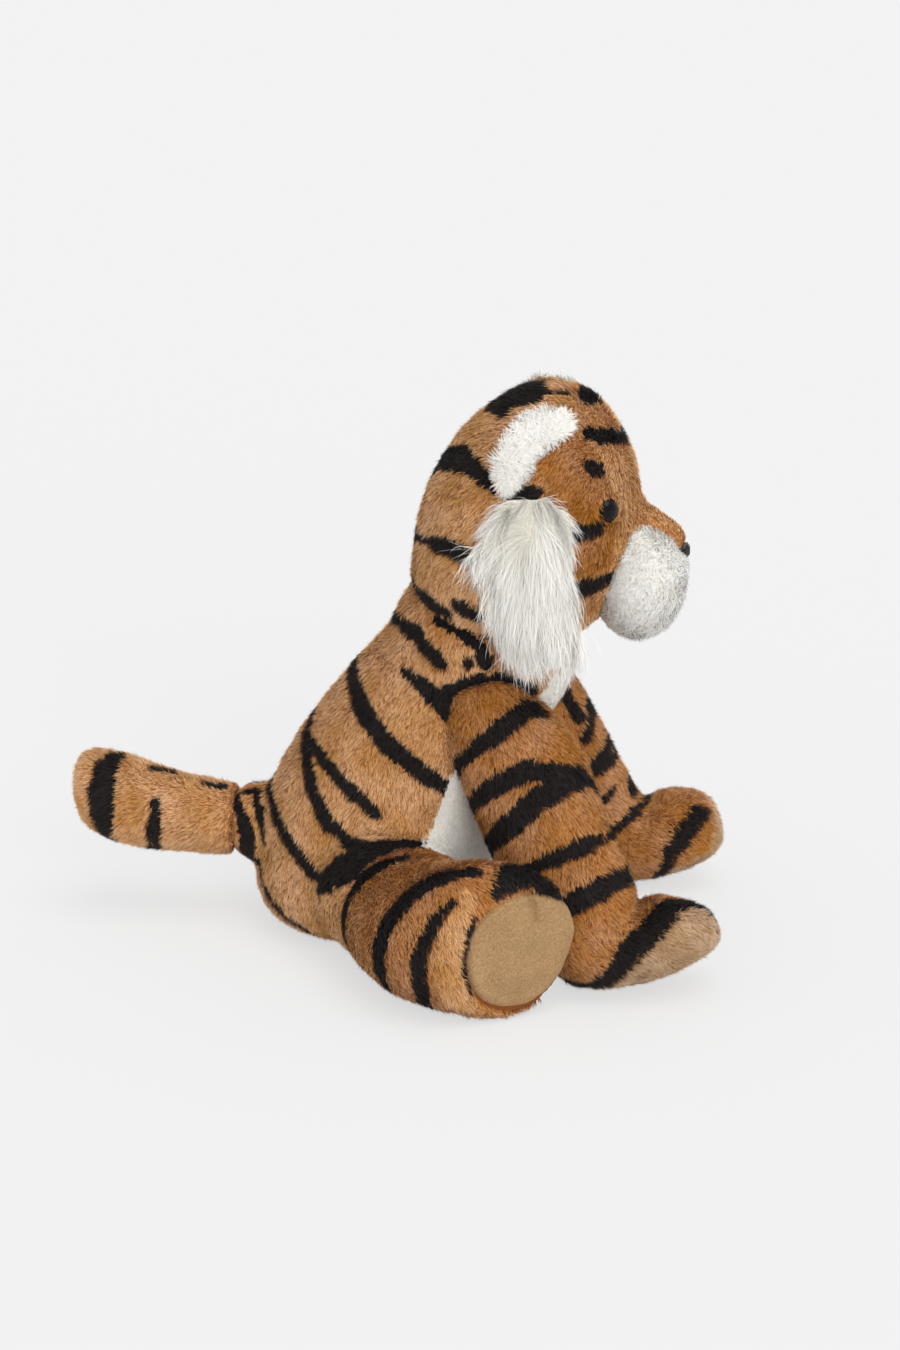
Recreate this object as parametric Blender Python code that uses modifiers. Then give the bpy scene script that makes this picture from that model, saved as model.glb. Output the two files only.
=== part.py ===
"""A seated plush tiger, built the way a soft toy is sewn.

Each limb is a stuffed tube of plush with its own filling, sewn to a stuffed torso. The torso
holds a bag of pellets in its seat. X is the way the tiger faces, Y is its left and Z is up.
The origin is the middle of the seat, on the table. Lengths are in metres and angles in degrees.
"""

import math

import bmesh
import bpy
from mathutils import Matrix, Vector

OBJECT_NAME = "plush_tiger"
X, Y, Z = Vector((1, 0, 0)), Vector((0, 1, 0)), Vector((0, 0, 1))
RIGHT, LEFT = -1, 1  # the side that a piece is on, along Y

# Fabric and seams
SKIN = 0.004  # plush: its knitted backing with the pile pressed down
SEAM_GAP = 0.0003  # room between two pieces that are sewn together or lie on each other
TURN_GAP = 0.0008  # room round a rounded root that a limb turns on
TABLE_PRESS = 0.0005  # how far a soft form is pressed flat by the table
OVERRUN = 0.020  # how far a cutter passes what it cuts

# Torso: a pear that leans forward, with a round neck on top
TORSO_HEIGHT = 0.150  # table to the middle of the round neck
TORSO_LEAN = 0.058  # how far forward of the seat the neck stands
TORSO_DEPTH = 0.130
TORSO_WIDTH = 0.114
NECK_RADIUS = 0.0485
NECK_OPENING = 0.020  # radius of the hole that the filling goes in by
# Height and forward as shares of TORSO_HEIGHT and TORSO_LEAN, half-depth and half-width as
# shares of TORSO_DEPTH and TORSO_WIDTH
TORSO_RING_SHARES = (
    (0.000, 0.00, 0.240, 0.240),
    (0.012, 0.00, 0.345, 0.350),
    (0.080, 0.00, 0.440, 0.445),
    (0.220, 0.055, 0.484, 0.492),
    (0.420, 0.165, 0.502, 0.500),
    (0.620, 0.355, 0.494, 0.472),
    (0.800, 0.61, 0.464, 0.430),
    (0.940, 0.79, 0.415, 0.390),
)
# Height above the neck's middle and half-size, as shares of NECK_RADIUS
NECK_RING_SHARES = ((0.25, 0.92), (0.58, 0.76), (0.84, 0.42))
# The white front panel: height as a share of TORSO_HEIGHT along the lean, and half-width as a
# share of TORSO_WIDTH
BELLY_OUTLINE_SHARES = (
    (0.06, 0.22),
    (0.14, 0.44),
    (0.30, 0.54),
    (0.58, 0.54),
    (0.78, 0.40),
    (0.92, 0.31),
    (1.04, 0.28),
    (1.14, 0.24),
)
BELLY_BACK_SHARE = 0.072  # of TORSO_DEPTH: how far before the torso's middle the panel starts

# Pellet bag in the seat
PELLET_BAG_LENGTH = 0.084
PELLET_BAG_WIDTH = 0.072
PELLET_BAG_HEIGHT = 0.034

# Head: an egg that stands on the round neck and leans forward a little
HEAD_HEIGHT = 0.127
HEAD_DEPTH = 0.112
HEAD_WIDTH = 0.122
HEAD_FORWARD = 0.022  # its widest ring's middle before the neck's
HEAD_DROP = 0.008  # its lowest ring above the neck's middle
NECK_TILT = 10.5  # degrees that the neck seam's axis leans forward
# Height as a share of HEAD_HEIGHT, forward, half-depth as shares of HEAD_DEPTH, and half-width
# as a share of HEAD_WIDTH
HEAD_RING_SHARES = (
    (0.00, -0.07, 0.300, 0.300),
    (0.10, -0.07, 0.430, 0.430),
    (0.24, -0.035, 0.492, 0.490),
    (0.41, 0.00, 0.503, 0.500),
    (0.60, 0.025, 0.480, 0.470),
    (0.79, 0.06, 0.390, 0.385),
    (0.93, 0.09, 0.240, 0.240),
    (1.00, 0.10, 0.110, 0.110),
)

# Muzzle: two soft lobes side by side
MUZZLE_WIDTH = 0.078
MUZZLE_DEPTH = 0.044
MUZZLE_HEIGHT = 0.058
MUZZLE_FORWARD_SHARE = 0.51  # of HEAD_DEPTH, before the head's widest ring's middle
MUZZLE_HEIGHT_SHARE = 0.250  # of HEAD_HEIGHT, above the head's lowest ring
# Place along the width, depth and height, as shares of the muzzle's three sizes
MUZZLE_RING_SHARES = (
    (-0.46, 0.16, 0.18),
    (-0.37, 0.36, 0.38),
    (-0.21, 0.50, 0.50),
    (0.00, 0.44, 0.46),
    (0.21, 0.50, 0.50),
    (0.37, 0.36, 0.38),
    (0.46, 0.16, 0.18),
)

# Nose bridge and nose
BRIDGE_LENGTH = 0.042
BRIDGE_WIDTH = 0.032
BRIDGE_HEIGHT = 0.026
BRIDGE_FALL = 0.017  # how much lower its tip is than its root
BRIDGE_RISE_SHARE = 0.51  # of HEAD_HEIGHT: its root's height
# Place along the length, and half-width and half-height, as shares of the bridge's sizes
BRIDGE_RING_SHARES = (
    (0.00, 0.46, 0.42),
    (0.35, 0.50, 0.50),
    (0.65, 0.42, 0.42),
    (0.90, 0.34, 0.32),
    (1.00, 0.20, 0.18),
)
NOSE_WIDTH = 0.018
NOSE_HEIGHT = 0.014
NOSE_DEPTH = 0.011
NOSE_BACK = 0.009  # how far its middle lies behind the bridge's tip
NOSE_DROP = 0.0035  # how far its middle lies below the bridge's tip

# Eyes: domed buttons on a stem that a washer holds behind the plush
EYE_RADIUS = 0.0060
EYE_DOME = 0.0042  # how far the dome stands out
EYE_STEM_RADIUS = 0.0020
EYE_STEM_LENGTH = 0.0120
EYE_SPREAD_SHARE = 0.308  # of HEAD_WIDTH, from the middle
EYE_RISE_SHARE = 0.575  # of HEAD_HEIGHT
EYE_SINK = 0.0012  # how far the dome's rim is drawn into the plush
WASHER_RADIUS = 0.0065
WASHER_THICKNESS = 0.0015
WASHER_DEPTH = 0.0072  # from the eye's rim to the washer's face
STEM_CLEARANCE = 0.0003

# Cheek tufts: patches of long pile that hang over the neck
TUFT_HEIGHT = 0.092
TUFT_LENGTH = 0.050
TUFT_THICKNESS = 0.030
TUFT_FORWARD_SHARE = 0.07  # of HEAD_DEPTH, before the head's widest ring's middle
TUFT_BOTTOM_SHARE = -0.02  # of HEAD_HEIGHT, above the head's lowest ring
TUFT_OUT_SHARE = 0.450  # of HEAD_WIDTH, from the middle
# Height, forward and outward shift, half-length and half-thickness, as shares of the tuft's sizes
TUFT_RING_SHARES = (
    (0.00, 0.14, 0.15, 0.16, 0.16),
    (0.14, 0.09, 0.22, 0.36, 0.30),
    (0.36, 0.03, 0.22, 0.50, 0.44),
    (0.62, 0.00, 0.10, 0.50, 0.50),
    (0.84, -0.02, -0.06, 0.40, 0.44),
    (1.00, -0.02, -0.30, 0.22, 0.24),
)

# Ears: round cups, each with a pale lining
EAR_RADIUS = 0.0288
EAR_THICKNESS = 0.016
EAR_HOLLOW_RADIUS = 0.034  # the ball that hollows the ear's front
EAR_HOLLOW_DEPTH = 0.005
EAR_OUT_SHARE = 0.298  # of HEAD_WIDTH, from the middle
EAR_RISE_SHARE = 0.738  # of HEAD_HEIGHT
EAR_FORWARD_SHARE = 0.085  # of HEAD_DEPTH
EAR_TURN_OUT = 50.0  # degrees that the ear's front is turned outward
EAR_LEAN_OUT = 26.0  # degrees that the ear's top leans outward in its own plane
EAR_ROOT_SHARE = 0.15  # of EAR_RADIUS: the line it folds on, above its middle
EAR_FLEX = 12.0  # degrees that the ear folds each way
LINING_RADIUS_SHARE = 0.97  # of EAR_RADIUS
LINING_THICKNESS_SHARE = 0.97  # of EAR_THICKNESS
LINING_FORWARD = 0.0015  # how far the lining's middle lies before the ear's

# Front legs: they hang from the shoulders and rest on their heels
SHOULDER_HEIGHT_SHARE = 0.800  # of TORSO_HEIGHT
SHOULDER_FORWARD_SHARE = 1.215  # of TORSO_LEAN
SHOULDER_OUT_SHARE = 0.410  # of TORSO_WIDTH
ANKLE_FORWARD = 0.040  # the ankle before the shoulder
ANKLE_HEIGHT = 0.034
PAW_SPREAD = 0.025  # the paw further out than the shoulder
FRONT_LEG_DEPTH = 0.057
FRONT_LEG_WIDTH = 0.048
PAW_LENGTH = 0.069  # ankle to toe
PAW_HEIGHT = 0.056
PAW_WIDTH = 0.055
HEEL_EASE = 0.0030  # how much deeper the filling lies than the plush is thick, for the heel's bend
FRONT_SWING = (0.0, 25.0)  # degrees, from the table forward
SWING_STEP = 12.5  # degrees between two cuts that clear a limb for its swing
# Place from shoulder to ankle as a share of that line, half-depth and half-width as shares
FRONT_LEG_RING_SHARES = (
    (-0.33, 0.26, 0.26),
    (-0.20, 0.42, 0.42),
    (0.02, 0.50, 0.50),
    (0.36, 0.51, 0.50),
    (0.70, 0.49, 0.48),
    (1.00, 0.485, 0.49),
)
# Forward of the ankle as a share of PAW_LENGTH, height and half-height as shares of
# PAW_HEIGHT, half-width as a share of PAW_WIDTH; then the way it points and its roll, degrees
PAW_RING_SHARES = (
    (0.16, 0.345, 0.52, 0.50),
    (0.50, 0.46, 0.43, 0.51),
    (0.84, 0.60, 0.28, 0.45),
    (0.99, 0.66, 0.15, 0.28),
)
PAW_PITCHES = (-38.0, 6.0, 24.0, 28.0)
PAW_ROLLS = (10.0, 26.0, 32.0, 32.0)
PAW_SOLE_LENGTH = 0.064
PAW_SOLE_WIDTH = 0.037
PAW_SOLE_FORWARD_SHARE = 0.62  # of PAW_LENGTH, before the ankle
PAW_SOLE_PITCH = 28.0  # degrees that the sole is tipped up at the toe

# Hind legs: they lie on the table and point outward
HIP_FORWARD_SHARE = 0.13  # of TORSO_DEPTH
HIP_OUT_SHARE = 0.420  # of TORSO_WIDTH
HIP_COLLAR = 0.0035  # how much wider the rounded root is than the leg that turns on it
THIGH_RADIUS = 0.0345
FOOT_RADIUS = 0.0385
HIND_LEG_LENGTH = 0.096  # middle of the rounded root to the sole
HIND_LEG_TURN = 45.0  # degrees outward of straight ahead
FOOT_TURN = 58.0  # degrees outward of straight ahead that the sole faces
HIND_SWING = (0.0, 20.0)  # degrees, from the table up
HIND_SOLE_RADIUS = 0.0285
# Place along the leg and shift to its outer side as shares of HIND_LEG_LENGTH, radius as a
# share of the way from THIGH_RADIUS to FOOT_RADIUS, and turn as a share of the way from the
# leg's to the foot's
HIND_LEG_RING_SHARES = (
    (-0.10, 0.00, 0.00, 0.00),
    (0.30, 0.12, 0.10, 0.20),
    (0.58, 0.18, 0.40, 0.60),
    (0.78, 0.13, 0.95, 1.00),
    (0.93, 0.04, 0.92, 1.00),
    (1.00, 0.00, 0.15, 1.00),
)
HIND_END_RADIUS_SHARE = 0.60  # of FOOT_RADIUS: the inner ring that keeps the sole flat
HIND_END_SHARE = 1.012  # of HIND_LEG_LENGTH
HIND_SOLE_CUT = 0.0065  # how deep the sole's edge is cut, a little more than the plush

# Tail: a stuffed club that stands straight back
TAIL_HEIGHT_SHARE = 0.350  # of TORSO_HEIGHT
TAIL_BACK_SHARE = 0.415  # of TORSO_DEPTH: the middle of its rounded root, behind the seat's middle
TAIL_COLLAR = 0.0025
TAIL_ROOT_RADIUS = 0.0185
TAIL_TIP_RADIUS = 0.0260
TAIL_LENGTH = 0.100
TAIL_RISE = 0.017
TAIL_SWING = 22.0  # degrees each way
# Place along the tail, rise, and radius as a share of the way from root to tip radius
TAIL_RING_SHARES = (
    (0.00, 0.00, 0.00),
    (0.30, 0.10, 0.15),
    (0.52, 0.28, 0.50),
    (0.74, 0.60, 0.95),
    (0.90, 0.85, 0.60),
    (0.985, 0.98, -0.55),
)

# An inner form's ends, to lie inside the rounded ends of the form round it
END_ROUNDING_SHARE = 0.24  # of the way to the ring before
END_SIZE_SHARE = 0.80  # of the end ring's size

# Facets
BODY_CORNERS = 12  # corners of each ring of a large form's cage
LIMB_CORNERS = 8
SMALL_CORNERS = 8
BALL_SEGMENTS = 20
SMALL_SEGMENTS = 14

MATERIALS = {
    "brown_plush": ((0.40, 0.19, 0.075, 1), 0.95),
    "white_plush": ((0.80, 0.78, 0.72, 1), 0.95),
    "long_white_plush": ((0.78, 0.77, 0.71, 1), 0.9),
    "tan_suede": ((0.41, 0.25, 0.13, 1), 0.9),
    "sand_plush": ((0.44, 0.27, 0.14, 1), 0.95),
    "black_plastic": ((0.012, 0.011, 0.010, 1), 0.15),
    "black_velvet": ((0.02, 0.018, 0.018, 1), 0.8),
    "filling": ((0.86, 0.86, 0.84, 1), 1.0),
    "pellet_cloth": ((0.55, 0.53, 0.48, 1), 0.9),
    "clear_nylon": ((0.75, 0.75, 0.72, 1), 0.4),
}


# The scene


def clear_scene():
    for old in list(bpy.data.objects):
        bpy.data.objects.remove(old, do_unlink=True)


def new_collection(name):
    made = bpy.data.collections.new(name)
    bpy.context.scene.collection.children.link(made)
    return made


def material(name):
    found = bpy.data.materials.get(name)
    if found:
        return found
    colour, roughness = MATERIALS[name]
    made = bpy.data.materials.new(name)
    made.use_nodes = True
    surface = made.node_tree.nodes["Principled BSDF"]
    surface.inputs["Base Color"].default_value = colour
    surface.inputs["Roughness"].default_value = roughness
    surface.inputs["Metallic"].default_value = 0.0
    made.diffuse_color = colour
    return made


def add_object(name, mesh, matrix=None):
    """A working solid in the cutters' collection, until finish() makes it a part."""
    made = bpy.data.objects.new(name, mesh)
    cutters.objects.link(made)
    made.hide_render = True
    made.display_type = "WIRE"
    if matrix is not None:
        mesh.transform(matrix)
    return made


def finish(solid, name, finish_name):
    """Moves a working solid to the parts, under its own name and material."""
    cutters.objects.unlink(solid)
    parts.objects.link(solid)
    solid.name = name
    solid.data.name = name
    solid.hide_render = False
    solid.display_type = "TEXTURED"
    solid.data.materials.clear()
    solid.data.materials.append(material(finish_name))
    solid.data.shade_smooth()
    solid.data.set_sharp_from_angle(angle=math.radians(40))
    return solid


def finish_pair(solid, name, finish_name):
    """Makes the part on the right and its mirror image on the left."""
    finish(mirrored(solid), f"{name}_left", finish_name)
    finish(solid, f"{name}_right", finish_name)


# Solids


def settle(solid):
    """Replaces a solid's mesh by what its modifiers make of it."""
    bpy.context.view_layer.update()
    graph = bpy.context.evaluated_depsgraph_get()
    mesh = bpy.data.meshes.new_from_object(solid.evaluated_get(graph))
    solid.modifiers.clear()
    solid.data = mesh
    return solid


def closed(mesh):
    """Whether each edge of a mesh lies between exactly two faces."""
    shape = bmesh.new()
    shape.from_mesh(mesh)
    whole = all(len(edge.link_faces) == 2 for edge in shape.edges)
    shape.free()
    return whole


def boolean(solid, other, operation):
    before = solid.data
    for solver in ("EXACT", "MANIFOLD"):
        solid.data = before
        step = solid.modifiers.new(operation.lower(), "BOOLEAN")
        step.operation = operation
        step.solver = solver
        step.object = other
        settle(solid)
        if closed(solid.data):
            break
    return solid


def cut(solid, *others):
    for other in others:
        boolean(solid, other, "DIFFERENCE")
    return solid


def joined(solid, *others):
    for other in others:
        boolean(solid, other, "UNION")
    return solid


def common(solid, other):
    return boolean(solid, other, "INTERSECT")


def copy_of(solid, name):
    return add_object(name, solid.data.copy())


def mirrored(solid):
    """A copy on the other side of the middle plane."""
    made = copy_of(solid, solid.name + "_mirrored")
    made.data.transform(Matrix.Diagonal((1, -1, 1, 1)))
    made.data.flip_normals()
    return made


def offset(solid, distance, name):
    """A copy whose surface lies this far outside, or inside if the distance is negative."""
    made = copy_of(solid, name)
    step = made.modifiers.new("offset", "DISPLACE")
    step.direction = "NORMAL"
    step.mid_level = 0.0
    step.strength = distance
    return settle(made)


def triangulated(solid):
    """Splits faces into triangles, so that a form and its offset copies bend alike."""
    shape = bmesh.new()
    shape.from_mesh(solid.data)
    bmesh.ops.triangulate(shape, faces=shape.faces)
    shape.to_mesh(solid.data)
    shape.free()
    return solid


def cage_growth(corners):
    """How far a ring's corners lie outside the smooth ring that subdivision makes of them."""
    return 3 / (2 + math.cos(2 * math.pi / corners))


def soft_form(name, rings, corners, levels=1):
    """A closed swelling form through rings of (middle, half-size vector, half-size vector)."""
    shape = bmesh.new()
    grown = cage_growth(corners) if levels else 1.0
    loops = []
    for middle, side, rise in rings:
        angles = [2 * math.pi * k / corners for k in range(corners)]
        points = [middle + grown * (side * math.cos(a) + rise * math.sin(a)) for a in angles]
        loops.append([shape.verts.new(p) for p in points])
    for low, high in zip(loops, loops[1:]):
        for k in range(corners):
            after = (k + 1) % corners
            shape.faces.new((low[k], low[after], high[after], high[k]))
    shape.faces.new(reversed(loops[0]))
    shape.faces.new(loops[-1])
    bmesh.ops.recalc_face_normals(shape, faces=shape.faces)
    mesh = bpy.data.meshes.new(name)
    shape.to_mesh(mesh)
    shape.free()
    made = add_object(name, mesh)
    if levels:
        step = made.modifiers.new("soft", "SUBSURF")
        step.levels = step.render_levels = levels
        settle(made)
    return triangulated(made)


def inner_form(name, rings, corners, depth):
    """A plainer form that lies this deep inside the soft form of the same rings."""
    rings = list(rings)
    for end, before in ((0, 1), (-1, -2)):
        middle, side, rise = rings[end]
        rings[end] = (
            middle.lerp(rings[before][0], END_ROUNDING_SHARE),
            side * END_SIZE_SHARE,
            rise * END_SIZE_SHARE,
        )
    made = soft_form(name + "_cage", rings, corners, levels=0)
    return offset(made, -depth, name)


def ball(name, middle, radii, segments=BALL_SEGMENTS, turn=None):
    """A ball or an ellipsoid. Its poles lie along its own Z, which turn can tip."""
    shape = bmesh.new()
    bmesh.ops.create_uvsphere(shape, u_segments=segments, v_segments=segments // 2, radius=1.0)
    mesh = bpy.data.meshes.new(name)
    shape.to_mesh(mesh)
    shape.free()
    sizes = radii if isinstance(radii, tuple) else (radii, radii, radii)
    place = Matrix.Translation(middle) @ (turn or Matrix.Identity(4)) @ Matrix.Diagonal((*sizes, 1))
    return add_object(name, mesh, place)


def rod(name, start, end, radius, segments=SMALL_SEGMENTS, flat_share=1.0, side=None):
    """A round rod from start to end. With flat_share it is that share as wide across side."""
    along = end - start
    shape = bmesh.new()
    bmesh.ops.create_cone(
        shape, cap_ends=True, segments=segments, radius1=1.0, radius2=1.0, depth=1.0
    )
    mesh = bpy.data.meshes.new(name)
    shape.to_mesh(mesh)
    shape.free()
    axis = along.normalized()
    wide = side or (Y if abs(axis.dot(Y)) < 0.9 else X)
    wide = (wide - axis * wide.dot(axis)).normalized()
    other = axis.cross(wide)
    frame = Matrix((wide, other, axis)).transposed().to_4x4()
    sizes = Matrix.Diagonal((radius * flat_share, radius, along.length, 1))
    place = Matrix.Translation((start + end) / 2) @ frame @ sizes
    return add_object(name, mesh, place)


def turned(solid, pivot, axis, degrees, name):
    """A copy of a solid, turned about an axis through a pivot."""
    made = copy_of(solid, name)
    turn = Matrix.Rotation(math.radians(degrees), 4, axis)
    made.data.transform(Matrix.Translation(pivot) @ turn @ Matrix.Translation(-pivot))
    return made


def cut_clear(solid, body, pivot, axis, swing):
    """Cuts a limb by a larger body, as that body stands to it all the way from end to end."""
    start, end = swing
    steps = math.ceil((end - start) / SWING_STEP)
    for k in range(steps + 1):
        angle = start + (end - start) * k / steps
        cut(solid, turned(body, pivot, axis, -angle, f"{body.name}_at_{k}"))
    return solid


def cut_at_table(solid):
    return cut(solid, table)


def table_block():
    """Everything below the table's top, for pressing soft forms flat."""
    reach = TORSO_DEPTH + HIND_LEG_LENGTH + PAW_LENGTH + TAIL_LENGTH
    shape = bmesh.new()
    bmesh.ops.create_cube(shape, size=1.0)
    mesh = bpy.data.meshes.new("table")
    shape.to_mesh(mesh)
    shape.free()
    place = Matrix.Translation(-Z * reach / 2) @ Matrix.Diagonal((2 * reach, 2 * reach, reach, 1))
    return add_object("table", mesh, place)


# Places that several pieces share


def neck_middle():
    return Vector((TORSO_LEAN, 0, TORSO_HEIGHT))


def neck_axis():
    tilt = math.radians(NECK_TILT)
    return Vector((math.sin(tilt), 0, math.cos(tilt)))


def head_middle(height_share, forward_share=0.0):
    """A point on the head's middle line, from its lowest ring up."""
    forward = TORSO_LEAN + HEAD_FORWARD + forward_share * HEAD_DEPTH
    return Vector((forward, 0, TORSO_HEIGHT + HEAD_DROP + height_share * HEAD_HEIGHT))


def shoulder():
    return Vector(
        (
            SHOULDER_FORWARD_SHARE * TORSO_LEAN,
            RIGHT * SHOULDER_OUT_SHARE * TORSO_WIDTH,
            SHOULDER_HEIGHT_SHARE * TORSO_HEIGHT,
        )
    )


def hip(side):
    return Vector(
        (
            HIP_FORWARD_SHARE * TORSO_DEPTH,
            side * HIP_OUT_SHARE * TORSO_WIDTH,
            FOOT_RADIUS - TABLE_PRESS,
        )
    )


def tail_root():
    return Vector((-TAIL_BACK_SHARE * TORSO_DEPTH, 0, TAIL_HEIGHT_SHARE * TORSO_HEIGHT))


# Torso


def torso_rings():
    rings = [
        (
            Vector((forward * TORSO_LEAN, 0, height * TORSO_HEIGHT - TABLE_PRESS)),
            X * depth * TORSO_DEPTH,
            Y * width * TORSO_WIDTH,
        )
        for height, forward, depth, width in TORSO_RING_SHARES
    ]
    rings += [
        (neck_middle() + Z * height * NECK_RADIUS, X * size * NECK_RADIUS, Y * size * NECK_RADIUS)
        for height, size in NECK_RING_SHARES
    ]
    return rings


def neck_ball(extra, name):
    turn = Matrix.Rotation(math.radians(NECK_TILT), 4, Y)
    return ball(name, neck_middle(), NECK_RADIUS + extra, turn=turn)


def hip_ball(side, extra, name):
    turn = Matrix.Rotation(math.radians(90), 4, X)
    return ball(name, hip(side), THIGH_RADIUS + HIP_COLLAR + extra, turn=turn)


def tail_ball(extra, name):
    radius = TAIL_ROOT_RADIUS + TAIL_COLLAR + extra
    return ball(name, tail_root(), radius, segments=SMALL_SEGMENTS)


def torso_form(extra, name):
    """The torso's outside, with the rounded roots that its limbs are sewn round."""
    form = soft_form(name, torso_rings(), BODY_CORNERS)
    if extra:
        form = offset(form, extra, name)
    joined(form, neck_ball(extra, "neck_root"), tail_ball(extra, "tail_root"))
    return joined(form, hip_ball(RIGHT, extra, "hip_root"), hip_ball(LEFT, extra, "hip_root"))


def belly_cutter(shrink, name):
    """A prism of the white panel's outline, standing on the torso's leaning middle plane."""
    lean = math.atan2(TORSO_LEAN, TORSO_HEIGHT)
    half = [
        (height * TORSO_HEIGHT, width * TORSO_WIDTH - shrink)
        for height, width in BELLY_OUTLINE_SHARES
    ]
    half[0] = (half[0][0] + shrink, half[0][1])
    half[-1] = (half[-1][0] - shrink, half[-1][1])
    outline = half + [(height, -width) for height, width in reversed(half)]
    back, front = BELLY_BACK_SHARE * TORSO_DEPTH, TORSO_DEPTH
    shape = bmesh.new()
    near = [shape.verts.new((back, width, height)) for height, width in outline]
    far = [shape.verts.new((front, width, height)) for height, width in outline]
    for k in range(len(outline)):
        after = (k + 1) % len(outline)
        shape.faces.new((near[k], near[after], far[after], far[k]))
    shape.faces.new(reversed(near))
    shape.faces.new(far)
    bmesh.ops.recalc_face_normals(shape, faces=shape.faces)
    mesh = bpy.data.meshes.new(name)
    shape.to_mesh(mesh)
    shape.free()
    return add_object(name, mesh, Matrix.Rotation(lean, 4, Y))


def build_torso(form):
    hollow = inner_form("torso_hollow", torso_rings(), BODY_CORNERS, SKIN)
    shell = cut(copy_of(form, "torso_shell"), hollow)
    mouth_end = neck_middle() + neck_axis() * (NECK_RADIUS + OVERRUN)
    shell = cut(shell, rod("neck_mouth", neck_middle(), mouth_end, NECK_OPENING))
    panel = common(copy_of(shell, "belly"), belly_cutter(SEAM_GAP / 2, "belly_inner_cutter"))
    skin = cut(shell, belly_cutter(-SEAM_GAP / 2, "belly_outer_cutter"))
    finish(skin, "torso_skin", "brown_plush")
    finish(panel, "belly_panel", "white_plush")

    core = inner_form("torso_core", torso_rings(), BODY_CORNERS, SKIN + SEAM_GAP)
    bag_size = (PELLET_BAG_LENGTH / 2, PELLET_BAG_WIDTH / 2, PELLET_BAG_HEIGHT)
    bag = ball("bag", Vector((0, 0, SKIN)), bag_size, segments=SMALL_SEGMENTS)
    pocket = offset(bag, SEAM_GAP, "bag_pocket")
    finish(common(bag, core), "pellet_bag", "pellet_cloth")
    finish(cut(core, pocket), "torso_stuffing", "filling")


# Head


def head_rings():
    return [
        (head_middle(height, forward), X * depth * HEAD_DEPTH, Y * width * HEAD_WIDTH)
        for height, forward, depth, width in HEAD_RING_SHARES
    ]


def muzzle_middle():
    return head_middle(MUZZLE_HEIGHT_SHARE, MUZZLE_FORWARD_SHARE)


def muzzle_rings():
    return [
        (muzzle_middle() + Y * place * MUZZLE_WIDTH, X * depth * MUZZLE_DEPTH, Z * height * MUZZLE_HEIGHT)
        for place, depth, height in MUZZLE_RING_SHARES
    ]


def bridge_rings():
    root = head_middle(BRIDGE_RISE_SHARE, MUZZLE_FORWARD_SHARE) - X * BRIDGE_LENGTH / 2
    along = X * BRIDGE_LENGTH - Z * BRIDGE_FALL
    up = Z * BRIDGE_LENGTH + X * BRIDGE_FALL
    return [
        (root + along * place, Y * width * BRIDGE_WIDTH, up.normalized() * height * BRIDGE_HEIGHT)
        for place, width, height in BRIDGE_RING_SHARES
    ]


def eye_frame(surface):
    """The middle of an eye's rim on the head's surface, and the way that the eye looks."""
    start = head_middle(EYE_RISE_SHARE, 1.0) + Y * RIGHT * EYE_SPREAD_SHARE * HEAD_WIDTH
    hit, place, normal, _ = surface.ray_cast(start, -X)
    normal = normal if hit else X
    place = place if hit else start - X * HEAD_DEPTH / 2
    return place - normal * EYE_SINK, normal


def build_eyes(surface):
    """The eyes and their washers. It gives back the room that skin and filling leave for one."""
    rim, look = eye_frame(surface)
    tip = rim - look * EYE_STEM_LENGTH
    frame = look.to_track_quat("Z", "Y").to_matrix().to_4x4()
    dome = ball(
        "dome", rim, (EYE_RADIUS, EYE_RADIUS, EYE_DOME), segments=SMALL_SEGMENTS, turn=frame
    )
    joined(dome, rod("stem", rim, tip, EYE_STEM_RADIUS, segments=SMALL_SEGMENTS // 2))
    finish_pair(dome, "eye", "black_plastic")
    face = rim - look * WASHER_DEPTH
    back = face - look * WASHER_THICKNESS
    hole = EYE_STEM_RADIUS + STEM_CLEARANCE
    washer = rod("washer", face, back, WASHER_RADIUS)
    bore = rod("washer_bore", face + look * OVERRUN, back - look * OVERRUN, hole)
    finish_pair(cut(washer, bore), "eye_washer", "clear_nylon")
    seat = ball(
        "eye_seat",
        rim,
        (EYE_RADIUS + SEAM_GAP, EYE_RADIUS + SEAM_GAP, EYE_DOME + SEAM_GAP),
        segments=SMALL_SEGMENTS,
        turn=frame,
    )
    stem_room = rod("stem_room", rim, tip - look * SEAM_GAP, hole)
    washer_room = rod(
        "washer_room", rim + look * OVERRUN, back - look * SEAM_GAP, WASHER_RADIUS + SEAM_GAP
    )
    return joined(seat, stem_room), joined(washer_room, copy_of(stem_room, "stem_pocket"))


def tuft_rings():
    middle = head_middle(TUFT_BOTTOM_SHARE, TUFT_FORWARD_SHARE)
    middle += Y * RIGHT * TUFT_OUT_SHARE * HEAD_WIDTH
    outward = Y * RIGHT * TUFT_THICKNESS
    return [
        (
            middle + Z * high * TUFT_HEIGHT + X * ahead * TUFT_LENGTH + outward * out,
            X * length * TUFT_LENGTH,
            Y * thickness * TUFT_THICKNESS,
        )
        for high, ahead, out, length, thickness in TUFT_RING_SHARES
    ]


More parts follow.
